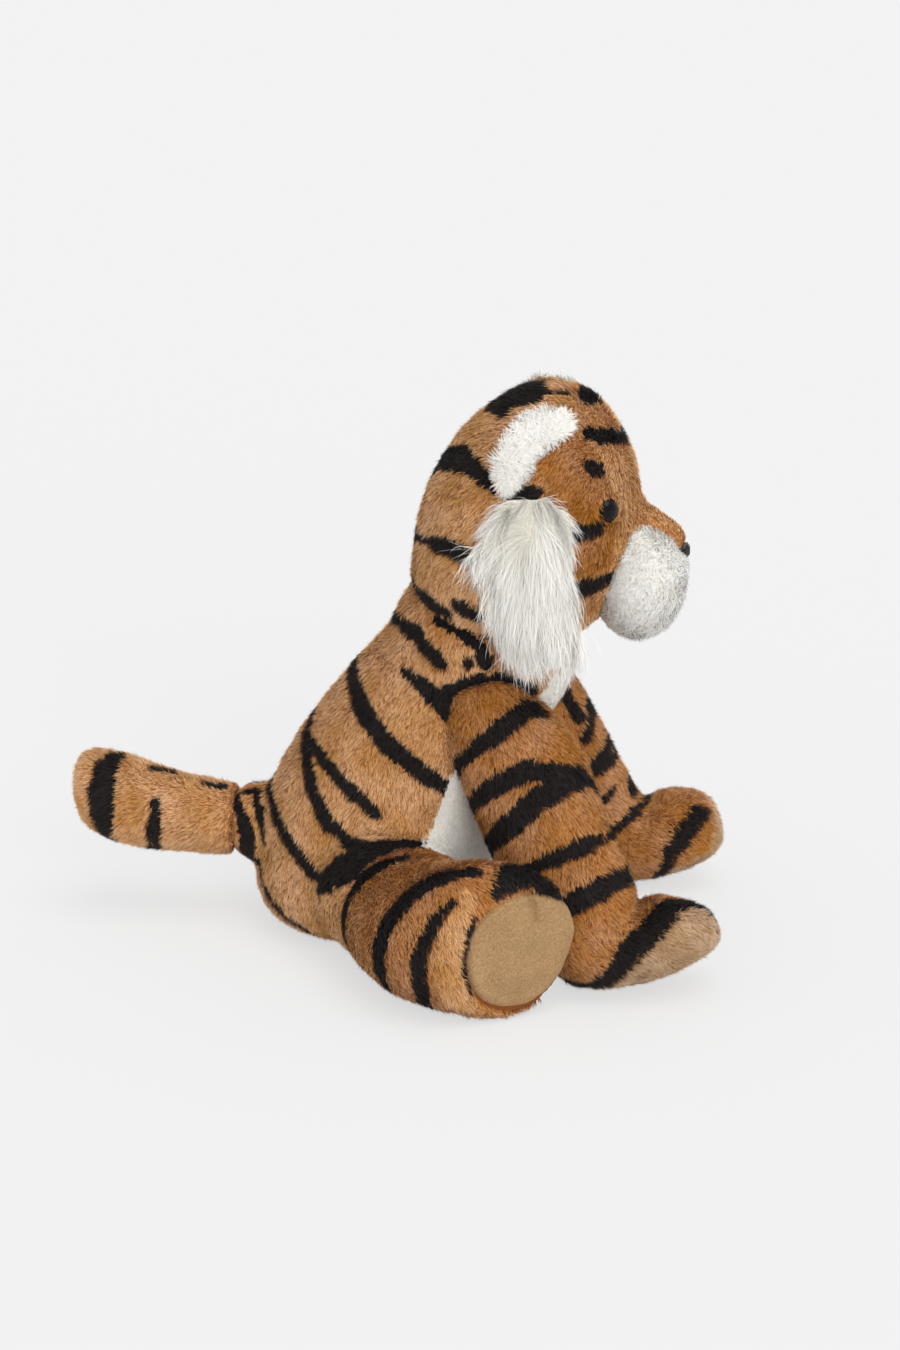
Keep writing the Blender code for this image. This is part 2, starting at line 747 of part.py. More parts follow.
def build_head(neck_room):
    form = soft_form("head_form", head_rings(), BODY_CORNERS)
    head_room = offset(form, SEAM_GAP, "head_room")
    hollow = inner_form("head_hollow", head_rings(), BODY_CORNERS, SKIN)
    skin = cut(copy_of(form, "head_shell"), hollow, neck_room)
    core = cut(inner_form("head_core", head_rings(), BODY_CORNERS, SKIN + SEAM_GAP), neck_room)
    in_skin, in_filling = build_eyes(form)
    finish(cut(skin, in_skin, mirrored(in_skin)), "head_skin", "brown_plush")
    finish(cut(core, in_filling, mirrored(in_filling)), "head_stuffing", "filling")
    build_face(head_room)
    tuft = soft_form("tuft", tuft_rings(), SMALL_CORNERS)
    tuft_room = offset(tuft, SEAM_GAP, "tuft_room")
    finish_pair(cut(tuft, head_room, neck_room), "cheek_tuft", "long_white_plush")
    return head_room, tuft_room


def build_face(head_room):
    """The muzzle, the bridge over it and the nose at their front."""
    bridge = cut(soft_form("bridge", bridge_rings(), SMALL_CORNERS), head_room)
    bridge_room = offset(soft_form("bridge_form", bridge_rings(), SMALL_CORNERS), SEAM_GAP, "bridge_room")
    muzzle = soft_form("muzzle_form", muzzle_rings(), LIMB_CORNERS)
    muzzle_room = offset(muzzle, SEAM_GAP, "muzzle_room")
    hollow = inner_form("muzzle_hollow", muzzle_rings(), LIMB_CORNERS, SKIN)
    filling = inner_form("muzzle_core", muzzle_rings(), LIMB_CORNERS, SKIN + SEAM_GAP)
    finish(cut(muzzle, hollow, head_room, bridge_room), "muzzle_skin", "white_plush")
    finish(cut(filling, head_room, bridge_room), "muzzle_stuffing", "filling")
    root, _, _ = bridge_rings()[0]
    tip = root + X * (BRIDGE_LENGTH - NOSE_BACK) - Z * (BRIDGE_FALL + NOSE_DROP)
    nose = ball("nose", tip, (NOSE_DEPTH, NOSE_WIDTH / 2, NOSE_HEIGHT / 2), segments=SMALL_SEGMENTS)
    finish(cut(nose, muzzle_room, bridge_room), "nose", "black_velvet")
    finish(bridge, "nose_bridge", "brown_plush")


# Ears


def ear_frame():
    """An ear's middle and its own axes: along its seam, from seam to tip, and the way it faces."""
    middle = head_middle(EAR_RISE_SHARE, EAR_FORWARD_SHARE) + Y * RIGHT * EAR_OUT_SHARE * HEAD_WIDTH
    faces = Matrix.Rotation(math.radians(RIGHT * EAR_TURN_OUT), 3, "Z") @ X
    rise = Matrix.Rotation(math.radians(EAR_LEAN_OUT), 3, faces) @ Z
    return middle, rise.cross(faces), rise, faces


def build_ears(head_rooms):
    """The ears, cut clear of the head and of the tufts under them."""
    middle, along, rise, faces = ear_frame()
    frame = Matrix((along, rise, faces)).transposed().to_4x4()
    half = EAR_THICKNESS / 2
    back = ball("ear_form", middle, (EAR_RADIUS, EAR_RADIUS, half), SMALL_SEGMENTS, frame)
    lining_radius = LINING_RADIUS_SHARE * EAR_RADIUS
    lining_half = LINING_THICKNESS_SHARE * half
    front = middle + faces * LINING_FORWARD
    lining_size = (lining_radius, lining_radius, lining_half)
    lining = ball("ear_lining_form", front, lining_size, SMALL_SEGMENTS, frame)
    lining_room = offset(lining, SEAM_GAP, "lining_room")
    hollow = front + faces * (lining_half - EAR_HOLLOW_DEPTH + EAR_HOLLOW_RADIUS)
    swing = (-EAR_FLEX, EAR_FLEX)
    pivot = middle + rise * EAR_ROOT_SHARE * EAR_RADIUS
    for room in head_rooms:
        cut_clear(back, room, pivot, along, swing)
        cut_clear(lining, room, pivot, along, swing)
    cut(back, lining_room)
    cut(lining, ball("ear_cup", hollow, EAR_HOLLOW_RADIUS, turn=frame))
    finish_pair(back, "ear_back", "brown_plush")
    finish_pair(lining, "ear_lining", "white_plush")


# Front legs


def front_leg_rings():
    top = shoulder()
    ankle = Vector((top.x + ANKLE_FORWARD, top.y + RIGHT * PAW_SPREAD, ANKLE_HEIGHT))
    down = (ankle - top).normalized()
    forward = Y.cross(down)
    rings = [
        (
            top.lerp(ankle, place),
            forward * depth * FRONT_LEG_DEPTH,
            Y * width * FRONT_LEG_WIDTH,
        )
        for place, depth, width in FRONT_LEG_RING_SHARES
    ]
    turns = zip(PAW_RING_SHARES, PAW_PITCHES, PAW_ROLLS)
    for (ahead, height, half_height, half_width), pitch, roll in turns:
        middle = Vector((ankle.x + ahead * PAW_LENGTH, ankle.y, height * PAW_HEIGHT))
        heading = Matrix.Rotation(math.radians(-pitch), 3, "Y") @ X
        lean = Matrix.Rotation(math.radians(RIGHT * roll), 3, heading)
        across = lean @ Y
        rise = -(lean @ Y.cross(heading))
        rings.append((middle, -rise * half_height * PAW_HEIGHT, across * half_width * PAW_WIDTH))
    return rings


def paw_sole_cutter(shrink, name):
    """An oval rod through the underside of a paw, square to its sole."""
    top = shoulder()
    ankle_x = top.x + ANKLE_FORWARD
    middle = Vector(
        (
            ankle_x + PAW_SOLE_FORWARD_SHARE * PAW_LENGTH,
            top.y + RIGHT * PAW_SPREAD,
            PAW_RING_SHARES[1][1] * PAW_HEIGHT,
        )
    )
    heading = Matrix.Rotation(math.radians(-PAW_SOLE_PITCH), 3, "Y") @ X
    roll = Matrix.Rotation(math.radians(RIGHT * PAW_ROLLS[-1]), 3, heading)
    down = roll @ Y.cross(heading)
    down = down if down.z < 0 else -down
    half_length = PAW_SOLE_LENGTH / 2 - shrink
    narrow = (PAW_SOLE_WIDTH / 2 - shrink) / half_length
    end = middle + down * PAW_HEIGHT
    return rod(name, middle, end, half_length, flat_share=narrow, side=roll @ Y)


def build_front_legs(torso_room):
    rings = front_leg_rings()
    pivot, axis = shoulder(), -Y
    skin = soft_form("front_leg_form", rings, LIMB_CORNERS)
    leg_room = offset(skin, TURN_GAP, "front_leg_room")
    depth = SKIN + HEEL_EASE
    hollow = inner_form("front_leg_hollow", rings, LIMB_CORNERS, depth)
    core = inner_form("front_leg_core", rings, LIMB_CORNERS, depth + SEAM_GAP)
    cut_at_table(cut(skin, hollow))
    cut_clear(skin, torso_room, pivot, axis, FRONT_SWING)
    cut_clear(core, torso_room, pivot, axis, FRONT_SWING)
    sole = common(copy_of(skin, "sole"), paw_sole_cutter(SEAM_GAP / 2, "sole_inner"))
    cut(skin, paw_sole_cutter(-SEAM_GAP / 2, "sole_outer"))
    finish_pair(skin, "front_leg_skin", "brown_plush")
    finish_pair(core, "front_leg_stuffing", "filling")
    finish_pair(sole, "front_sole", "sand_plush")
    return leg_room


# Hind legs


def outward_heading(degrees):
    """The level way that points so many degrees outward of straight ahead."""
    turn = math.radians(degrees)
    return Vector((math.cos(turn), RIGHT * math.sin(turn), 0))


def hind_leg_rings():
    root, along = hip(RIGHT), outward_heading(HIND_LEG_TURN)
    rings = []
    outer = along.cross(Z)
    for place, bow, swell, turn in HIND_LEG_RING_SHARES:
        radius = THIGH_RADIUS + swell * (FOOT_RADIUS - THIGH_RADIUS)
        faces = outward_heading(HIND_LEG_TURN + turn * (FOOT_TURN - HIND_LEG_TURN))
        middle = root + (along * place + outer * bow) * HIND_LEG_LENGTH
        middle.z += radius - FOOT_RADIUS
        rings.append((middle, faces.cross(Z) * radius, Z * radius))
    across = outward_heading(FOOT_TURN).cross(Z)
    inner = HIND_END_RADIUS_SHARE * FOOT_RADIUS
    middle = root + along * HIND_END_SHARE * HIND_LEG_LENGTH
    rings.append((middle, across * inner, Z * inner))
    return rings


def build_hind_legs(torso_room, front_leg_room):
    rings = hind_leg_rings()
    root, faces = hip(RIGHT), outward_heading(FOOT_TURN)
    skin = soft_form("hind_leg_form", rings, LIMB_CORNERS)
    hollow = inner_form("hind_leg_hollow", rings, LIMB_CORNERS, SKIN)
    core = inner_form("hind_leg_core", rings, LIMB_CORNERS, SKIN + SEAM_GAP)
    root_room = hip_ball(RIGHT, TURN_GAP, "hip_room")
    cut_at_table(cut(skin, hollow, root_room))
    cut(core, root_room)
    for room in (torso_room, front_leg_room):
        cut_clear(skin, room, root, -Y, HIND_SWING)
        cut_clear(core, room, root, -Y, HIND_SWING)
    sole_middle = rings[-1][0]
    start = sole_middle - faces * HIND_SOLE_CUT
    end = sole_middle + faces * OVERRUN
    inner = rod("sole_inner", start, end, HIND_SOLE_RADIUS - SEAM_GAP / 2, segments=BALL_SEGMENTS)
    outer = rod("sole_outer", start, end, HIND_SOLE_RADIUS + SEAM_GAP / 2, segments=BALL_SEGMENTS)
    sole = common(copy_of(skin, "sole"), inner)
    finish_pair(cut(skin, outer), "hind_leg_skin", "brown_plush")
    finish_pair(core, "hind_leg_stuffing", "filling")
    finish_pair(sole, "hind_sole", "tan_suede")


# Tail


def tail_rings():
    rings = []
    for place, rise, swell in TAIL_RING_SHARES:
        radius = TAIL_ROOT_RADIUS + swell * (TAIL_TIP_RADIUS - TAIL_ROOT_RADIUS)
        middle = tail_root() - X * place * TAIL_LENGTH + Z * rise * TAIL_RISE
        rings.append((middle, Y * radius, Z * radius))
    return rings


def build_tail(torso_room):
    skin = soft_form("tail_form", tail_rings(), LIMB_CORNERS)
    root_room = tail_ball(TURN_GAP, "tail_room")
    swing = (-TAIL_SWING, TAIL_SWING)
    cut(skin, inner_form("tail_hollow", tail_rings(), LIMB_CORNERS, SKIN), root_room)
    core = cut(inner_form("tail_core", tail_rings(), LIMB_CORNERS, SKIN + SEAM_GAP), root_room)
    cut_clear(skin, torso_room, tail_root(), Z, swing)
    cut_clear(core, torso_room, tail_root(), Z, swing)
    finish(skin, "tail_skin", "brown_plush")
    finish(core, "tail_stuffing", "filling")


def build():
    form = cut_at_table(torso_form(0, "torso_form"))
    torso_room = torso_form(SEAM_GAP, "torso_room")
    build_torso(form)
    head_rooms = build_head(neck_ball(TURN_GAP, "neck_room"))
    build_ears(head_rooms)
    front_leg_room = build_front_legs(torso_room)
    build_hind_legs(torso_room, front_leg_room)
    build_tail(torso_room)


clear_scene()
parts = new_collection(OBJECT_NAME)
cutters = new_collection("cutters")
table = table_block()
build()
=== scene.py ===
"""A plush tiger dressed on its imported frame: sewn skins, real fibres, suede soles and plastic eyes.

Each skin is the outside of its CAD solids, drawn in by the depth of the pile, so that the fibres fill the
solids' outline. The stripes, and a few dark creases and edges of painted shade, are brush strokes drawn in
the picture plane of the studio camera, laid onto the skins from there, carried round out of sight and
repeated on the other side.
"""

import logging
import math
from collections.abc import Callable
from dataclasses import dataclass, field
from enum import Enum
from typing import Any

import bmesh
import bpy
import numpy as np
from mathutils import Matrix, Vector
from mathutils.bvhtree import BVHTree


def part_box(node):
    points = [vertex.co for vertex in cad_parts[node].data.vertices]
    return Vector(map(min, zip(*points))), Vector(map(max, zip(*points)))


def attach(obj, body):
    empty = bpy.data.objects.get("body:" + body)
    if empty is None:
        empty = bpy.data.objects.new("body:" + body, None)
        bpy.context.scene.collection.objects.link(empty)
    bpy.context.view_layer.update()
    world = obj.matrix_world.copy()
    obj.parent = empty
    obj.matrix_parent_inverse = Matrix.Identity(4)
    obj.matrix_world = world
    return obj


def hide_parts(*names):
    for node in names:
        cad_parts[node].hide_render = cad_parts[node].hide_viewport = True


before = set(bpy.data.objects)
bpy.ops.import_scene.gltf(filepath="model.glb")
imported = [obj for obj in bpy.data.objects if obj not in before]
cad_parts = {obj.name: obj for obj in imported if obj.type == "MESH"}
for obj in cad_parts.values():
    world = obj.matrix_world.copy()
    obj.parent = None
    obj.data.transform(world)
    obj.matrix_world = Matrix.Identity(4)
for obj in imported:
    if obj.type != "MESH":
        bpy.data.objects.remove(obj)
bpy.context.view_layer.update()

logging.basicConfig(level=logging.INFO, format="%(message)s")
log = logging.getLogger("tiger")

MM = 0.001
FAR = 1.0
FACES_PER_PIECE = 150_000
# The skins and the fibres end this far above the table.
SKIN_CLEARANCE = 0.8 * MM
FIBRE_CLEARANCE = 0.25 * MM
BACKDROP_HEX = "#f2f2f2"
# The part of a noise's values that its maps use.
NOISE_SPAN = {"From Min": 0.3, "From Max": 0.7}


class Coat(Enum):
    """The colours that the pile fabrics come in."""

    BROWN = "brown"
    BLACK = "black"
    WHITE = "white"
    TAN = "tan"
    CREAM = "cream"
    # The brown with painted shade: the same cloth, darker.
    RUST = "rust"


class Side(Enum):
    """The two sides of the tiger, with the sign of Y on each."""

    RIGHT = -1
    LEFT = 1

    @property
    def word(self) -> str:
        """The side's name as the CAD nodes end in it."""
        return self.name.lower()


# Small helpers


def linear(code: str) -> tuple[float, float, float, float]:
    """Turns an sRGB hex colour into linear RGBA.

    Args:
        code: The colour, such as "#a06d44".

    Returns:
        Linear red, green, blue and an alpha of 1.
    """
    channels = [int(code[i : i + 2], 16) / 255 for i in (1, 3, 5)]
    red, green, blue = (
        c / 12.92 if c <= 0.04045 else ((c + 0.055) / 1.055) ** 2.4 for c in channels
    )
    return red, green, blue, 1.0


def add_node(
    tree: bpy.types.NodeTree,
    kind: str,
    settings: dict[Any, Any] | None = None,
    links: dict[Any, Any] | None = None,
    stops: tuple[tuple[float, str], ...] = (),
) -> bpy.types.Node:
    """Adds a node with its settings and links.

    Args:
        tree: The tree that gets the node.
        kind: The node's type, such as "ShaderNodeTexNoise".
        settings: Values by input name or number, or by property name.
        links: What feeds the inputs, by input name or number: output sockets, or nodes for their first one.
        stops: On a colour ramp, its places from 0 to 1, each with an sRGB hex colour.

    Returns:
        The new node.
    """
    node = tree.nodes.new(kind)
    for key, value in (settings or {}).items():
        if isinstance(key, int) or key in node.inputs:
            node.inputs[key].default_value = value
        else:
            setattr(node, key, value)
    for key, feed in (links or {}).items():
        tree.links.new(feed.outputs[0] if isinstance(feed, bpy.types.Node) else feed, node.inputs[key])
    for k, (place, code) in enumerate(stops):
        elements = node.color_ramp.elements
        stop = elements[k] if k < len(elements) else elements.new(place)
        stop.position, stop.color = place, linear(code)
    return node


def unit(vectors: np.ndarray) -> np.ndarray:
    """Gives each row of an array a length of 1."""
    return vectors / np.maximum(np.linalg.norm(vectors, axis=1, keepdims=True), 1e-9)


def along_surface(vectors: np.ndarray, normals: np.ndarray) -> np.ndarray:
    """Lays vectors flat on a surface with these unit normals, and makes them unit vectors."""
    return unit(vectors - normals * np.sum(vectors * normals, axis=1, keepdims=True))


def lattice(cells: np.ndarray, seed: int) -> np.ndarray:
    """Gives whole-numbered cells steady random values.

    Args:
        cells: Cell numbers, three to a row.
        seed: Which set of values to give.

    Returns:
        A value from 0 to 1 for each row.
    """
    c = cells.astype(np.int64).astype(np.uint64)
    mixed = c[:, 0] * np.uint64(73856093) ^ c[:, 1] * np.uint64(19349663)
    mixed ^= c[:, 2] * np.uint64(83492791) ^ np.uint64(seed * 2654435761 % 2**32)
    mixed ^= mixed >> np.uint64(13)
    mixed *= np.uint64(0x9E3779B97F4A7C15)
    mixed ^= mixed >> np.uint64(29)
    return (mixed % np.uint64(1_000_003)).astype(float) / 1_000_003


def soft_noise(points: np.ndarray, size: float, seed: int) -> np.ndarray:
    """Smooth random values in space.

    Args:
        points: Places, in metres.
        size: The size of one swell, in metres.
        seed: Which noise to give.

    Returns:
        A value from -1 to 1 for each point.
    """
    q = points / size
    base = np.floor(q)
    f = q - base
    f = f * f * (3 - 2 * f)
    total = np.zeros(len(points))
    for corner in np.ndindex(2, 2, 2):
        share = np.prod(np.where(np.array(corner) == 1, f, 1 - f), axis=1)
        total += share * lattice(base + np.array(corner), seed)
    return total * 2 - 1


def threefold(noise: Callable[..., np.ndarray], *given: Any, seed: int) -> np.ndarray:
    """Three columns of a noise, with the seeds from this one on."""
    return np.stack([noise(*given, seed + k) for k in range(3)], axis=1)


def share_of(values: np.ndarray) -> np.ndarray:
    """Scales values to run from 0 at the least to 1 at the greatest."""
    return (values - values.min()) / (values.max() - values.min())


def mesh_of(shape: bmesh.types.BMesh, name: str) -> bpy.types.Mesh:
    """Turns a shape into a mesh and frees it.

    Args:
        shape: The shape in edit form.
        name: The mesh's name.

    Returns:
        The mesh.
    """
    mesh = bpy.data.meshes.new(name)
    shape.to_mesh(mesh)
    shape.free()
    return mesh


def mesh_object(name: str, mesh: bpy.types.Mesh) -> bpy.types.Object:
    """Puts a mesh into the scene.

    Args:
        name: The object's name.
        mesh: Its mesh, in metres in the frame.

    Returns:
        The new object.
    """
    mesh.name = name
    piece = bpy.data.objects.new(name, mesh)
    bpy.context.scene.collection.objects.link(piece)
    return piece


def arrays_of(mesh: bpy.types.Mesh) -> tuple[np.ndarray, np.ndarray, np.ndarray]:
    """Reads a mesh into arrays.

    Args:
        mesh: The mesh to read.

    Returns:
        Vertex places, vertex normals and triangles.
    """
    places = np.zeros(len(mesh.vertices) * 3, np.float32)
    normals = np.zeros(len(mesh.vertices) * 3, np.float32)
    mesh.vertices.foreach_get("co", places)
    mesh.vertices.foreach_get("normal", normals)
    mesh.calc_loop_triangles()
    triangles = np.zeros(len(mesh.loop_triangles) * 3, np.int32)
    mesh.loop_triangles.foreach_get("vertices", triangles)
    shape = (-1, 3)
    return (
        places.reshape(shape).astype(float),
        normals.reshape(shape).astype(float),
        triangles.reshape(shape),
    )


def tree_of_node(node: str) -> BVHTree:
    """A search tree over one CAD node's faces."""
    places, _, triangles = arrays_of(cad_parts[node].data)
    return BVHTree.FromPolygons(places.tolist(), triangles.tolist())


def distances(tree: BVHTree, points: np.ndarray) -> np.ndarray:
    """How far each of some points lies from a surface, in metres."""
    return np.array([tree.find_nearest(Vector(p))[3] for p in points])


# Studio


@dataclass
class Studio:
    """The pale floor, soft lamps and the camera at the picture's viewing angle."""

    picture_px: tuple[int, int] = (900, 1350)
    lens_mm: float = 80.0
    sensor_mm: float = 36.0
    distance: float = 1.5
    azimuth_deg: float = 6.0
    elevation_deg: float = 18.0
    aim: tuple[float, float, float] = (0.0415, 0.0, 0.134)
    floor_radius: float = 14.0
    floor_gap: float = 0.2 * MM
    world_strength: float = 0.70
    key_strength: float = 0.92
    fill_share: float = 1.60

    @property
    def focal_px(self) -> float:
        """The lens's focal length in pixels of the picture."""
        return self.lens_mm / self.sensor_mm * max(self.picture_px)

    def back(self) -> Vector:
        """The direction from the tiger to the camera."""
        a, e = math.radians(self.azimuth_deg), math.radians(self.elevation_deg)
        return Vector((math.sin(a) * math.cos(e), -math.cos(a) * math.cos(e), math.sin(e)))

    def eye(self) -> Vector:
        """Where the camera stands."""
        return Vector(self.aim) + self.back() * self.distance

    def through(self, x: float, y: float) -> Vector:
        """The direction in which the camera sees a point of the picture.

        Args:
            x: Pixels from the picture's left edge.
            y: Pixels from its top edge.

        Returns:
            A unit vector from the camera.
        """
        back = self.back()
        across = Vector((0, 0, 1)).cross(back).normalized()
        up = back.cross(across)
        wide, high = self.picture_px
        return (across * (x - wide / 2) - up * (y - high / 2) - back * self.focal_px).normalized()

    def set_camera(self) -> None:
        """Makes the camera and gives it to the scene."""
        data = bpy.data.cameras.new("studio_camera")
        data.lens = self.lens_mm
        data.sensor_width = self.sensor_mm
        camera = bpy.data.objects.new("studio_camera", data)
        camera.location = self.eye()
        camera.rotation_mode = "QUATERNION"
        camera.rotation_quaternion = (-self.back()).to_track_quat("-Z", "Y")
        bpy.context.scene.collection.objects.link(camera)
        bpy.context.scene.camera = camera

    def lay_floor(self) -> None:
        """Lays the pale floor, which fills the picture and keeps the tiger's shadow."""
        shape = bmesh.new()
        bmesh.ops.create_circle(shape, cap_ends=True, segments=64, radius=self.floor_radius)
        floor = mesh_object("floor", mesh_of(shape, "floor"))
        floor.location.z = -self.floor_gap
        floor.data.materials.append(BOARD.material())

    def light(self) -> None:
        """Lights the set: an even white surround, a broad key from above and a fill from the front."""
        world = bpy.data.worlds.new("soft_surround")
        world.use_nodes = True
        bpy.context.scene.world = world
        tree = world.node_tree
        tree.nodes.clear()
        rays = add_node(tree, "ShaderNodeLightPath").outputs
        seen = add_node(
            tree,
            "ShaderNodeMath",
            {"operation": "ADD", "use_clamp": True},
            {0: rays["Is Camera Ray"], 1: rays["Is Transmission Ray"]},
        )
        surround = {"Color": (1, 1, 1, 1), "Strength": self.world_strength}
        around = add_node(tree, "ShaderNodeBackground", surround)
        behind = add_node(tree, "ShaderNodeBackground", {"Color": linear(BACKDROP_HEX), "Strength": 1.0})
        both = add_node(tree, "ShaderNodeMixShader", links={0: seen, 1: around, 2: behind})
        add_node(tree, "ShaderNodeOutputWorld", links={"Surface": both})
        for name, toward, strength, spread_deg in (
            ("key_lamp", (-0.25, 0.30, -1.0), self.key_strength, 40.0),
            # Narrower than the key: its reflection is the highlight on the polished eyes.
            ("fill_lamp", (-0.38, 0.86, -0.36), self.key_strength * self.fill_share, 36.0),
        ):
            lamp = bpy.data.lights.new(name, "SUN")
            lamp.energy = strength
            lamp.angle = math.radians(spread_deg)
            stand = bpy.data.objects.new(name, lamp)
            stand.rotation_mode = "QUATERNION"
            stand.rotation_quaternion = Vector(toward).to_track_quat("-Z", "Y")
            bpy.context.scene.collection.objects.link(stand)
        bpy.context.scene.view_settings.view_transform = "Standard"


STUDIO = Studio()


# Finishes


@dataclass(frozen=True)
class Finish:
    """A real material, made once and then found by its name."""

    name: str

    def shader(self, tree: bpy.types.NodeTree, place: bpy.types.NodeSocket) -> bpy.types.Node:
        """Builds the nodes of the look, given the place on the piece, and returns their shader."""
        raise NotImplementedError

    def material(self) -> bpy.types.Material:
        """Makes the material, or finds it if it is there.

        Returns:
            The material.
        """
        found = bpy.data.materials.get(self.name)
        if found:
            return found
        material = bpy.data.materials.new(self.name)
        material.use_nodes = True
        tree = material.node_tree
        tree.nodes.clear()
        place = add_node(tree, "ShaderNodeTexCoord").outputs["Object"]
        add_node(tree, "ShaderNodeOutputMaterial", links={"Surface": self.shader(tree, place)})
        return material


@dataclass(frozen=True)
class BoardFinish(Finish):
    """Matt painted board: no gloss, so the tiger stands in a soft shadow alone."""

    colour_hex: str
    backdrop_share: float = 0.7

    def shader(self, tree: bpy.types.NodeTree, place: bpy.types.NodeSocket) -> bpy.types.Node:
        """Builds paint that the camera sees mostly as the backdrop's pale tone.

        Args:
            tree: The material's tree.
            place: The place on the floor; not used.

        Returns:
            The shader that goes to the surface.
        """
        rays = add_node(tree, "ShaderNodeLightPath").outputs
        seen = add_node(
            tree,
            "ShaderNodeMath",
            {"operation": "ADD", "use_clamp": True},
            {0: rays["Is Camera Ray"], 1: rays["Is Glossy Ray"]},
        )
        board = add_node(tree, "ShaderNodeBsdfDiffuse", {"Color": linear(self.colour_hex)})
        light = add_node(tree, "ShaderNodeEmission", {"Color": linear(BACKDROP_HEX), "Strength": 1.0})
        share = add_node(tree, "ShaderNodeMath", {"operation": "MULTIPLY", 1: self.backdrop_share}, {0: seen})
        return add_node(tree, "ShaderNodeMixShader", links={0: share, 1: board, 2: light})


@dataclass(frozen=True)
class PileFinish(Finish):
    """Acrylic or polyester pile: fine dull fibres, deep at the root and paler at the brushed tip; the depth
    is partly the fibres' own colour and partly painted shade, the pale tip partly painted light.
    """

    root_hex: str
    middle_hex: str
    tip_hex: str
    sheen: float
    sheen_hex: str
    spread: float
    patch_depth: float = 0.15
    patch_mm: float = 22.0

    def shader(self, tree: bpy.types.NodeTree, place: bpy.types.NodeSocket) -> bpy.types.Node:
        """Builds a root-to-tip colour, with painted shade towards the root, that varies from fibre to fibre
        and in brushed patches.

        Args:
            tree: The material's tree.
            place: The place on the pile.

        Returns:
            The shader that goes to the surface.
        """
        strand = add_node(tree, "ShaderNodeUVMap", {"uv_map": "Strand"})
        split = add_node(tree, "ShaderNodeSeparateXYZ", links={0: strand}).outputs
        stops = ((0.0, self.root_hex), (0.5, self.middle_hex), (1.0, self.tip_hex))
        ramp = add_node(tree, "ShaderNodeValToRGB", links={0: split["Y"]}, stops=stops)
        grain = {"Scale": 1 / (self.patch_mm * MM), "Detail": 2.0}
        patches = add_node(tree, "ShaderNodeTexNoise", grain, {"Vector": place})
        low, high = 1 - self.patch_depth, 1 + self.patch_depth
        patch = NOISE_SPAN | {"To Min": low, "To Max": high}
        brushed = add_node(tree, "ShaderNodeMapRange", patch, {"Value": patches})
        tones = {"To Min": 1 - self.spread, "To Max": 1 + self.spread}
        fibre = add_node(tree, "ShaderNodeMapRange", tones, {"Value": split["X"]})
        tone = add_node(tree, "ShaderNodeMath", {"operation": "MULTIPLY"}, {0: brushed, 1: fibre})
        depths = NOISE_SPAN | {"To Min": 1.12, "To Max": 0.90}
        depth = add_node(tree, "ShaderNodeMapRange", depths, {"Value": patches})
        colour = add_node(
            tree, "ShaderNodeHueSaturation", links={"Saturation": depth, "Value": tone, "Color": ramp}
        )
        dull = {
            "Roughness": 0.8,
            "Specular IOR Level": 0.2,
            "Sheen Weight": self.sheen,
            "Sheen Roughness": 0.45,
            "Sheen Tint": linear(self.sheen_hex),
        }
        return add_node(tree, "ShaderNodeBsdfPrincipled", dull, {"Base Color": colour})


@dataclass(frozen=True)
class KnitBackingFinish(Finish):
    """The pile's knitted ground cloth: dull loops that show only between the fibres, painted darker there as
    painted shade.
    """

    colour_hex: str
    loop_mm: float = 0.9

    def shader(self, tree: bpy.types.NodeTree, place: bpy.types.NodeSocket) -> bpy.types.Node:
        """Builds raised loops, with painted shade darkening the gaps between them.

        Args:
            tree: The material's tree.
            place: The place on the cloth.

        Returns:
            The shader that goes to the surface.
        """
        loops = add_node(tree, "ShaderNodeTexVoronoi", {"Scale": 1 / (self.loop_mm * MM)}, {"Vector": place})
        gap = loops.outputs["Distance"]
        shades = {"From Max": 0.7, "To Min": 1.06, "To Max": 0.8}
        shade = add_node(tree, "ShaderNodeMapRange", shades, {"Value": gap})
        dye = {"Color": linear(self.colour_hex)}
        colour = add_node(tree, "ShaderNodeHueSaturation", dye, {"Value": shade})
        relief = {"Strength": 0.4, "Distance": 0.2 * MM, "invert": True}
        raised = add_node(tree, "ShaderNodeBump", relief, {"Height": gap})
        dull = {"Roughness": 0.95, "Specular IOR Level": 0.1}
        return add_node(tree, "ShaderNodeBsdfPrincipled", dull, {"Base Color": colour, "Normal": raised})


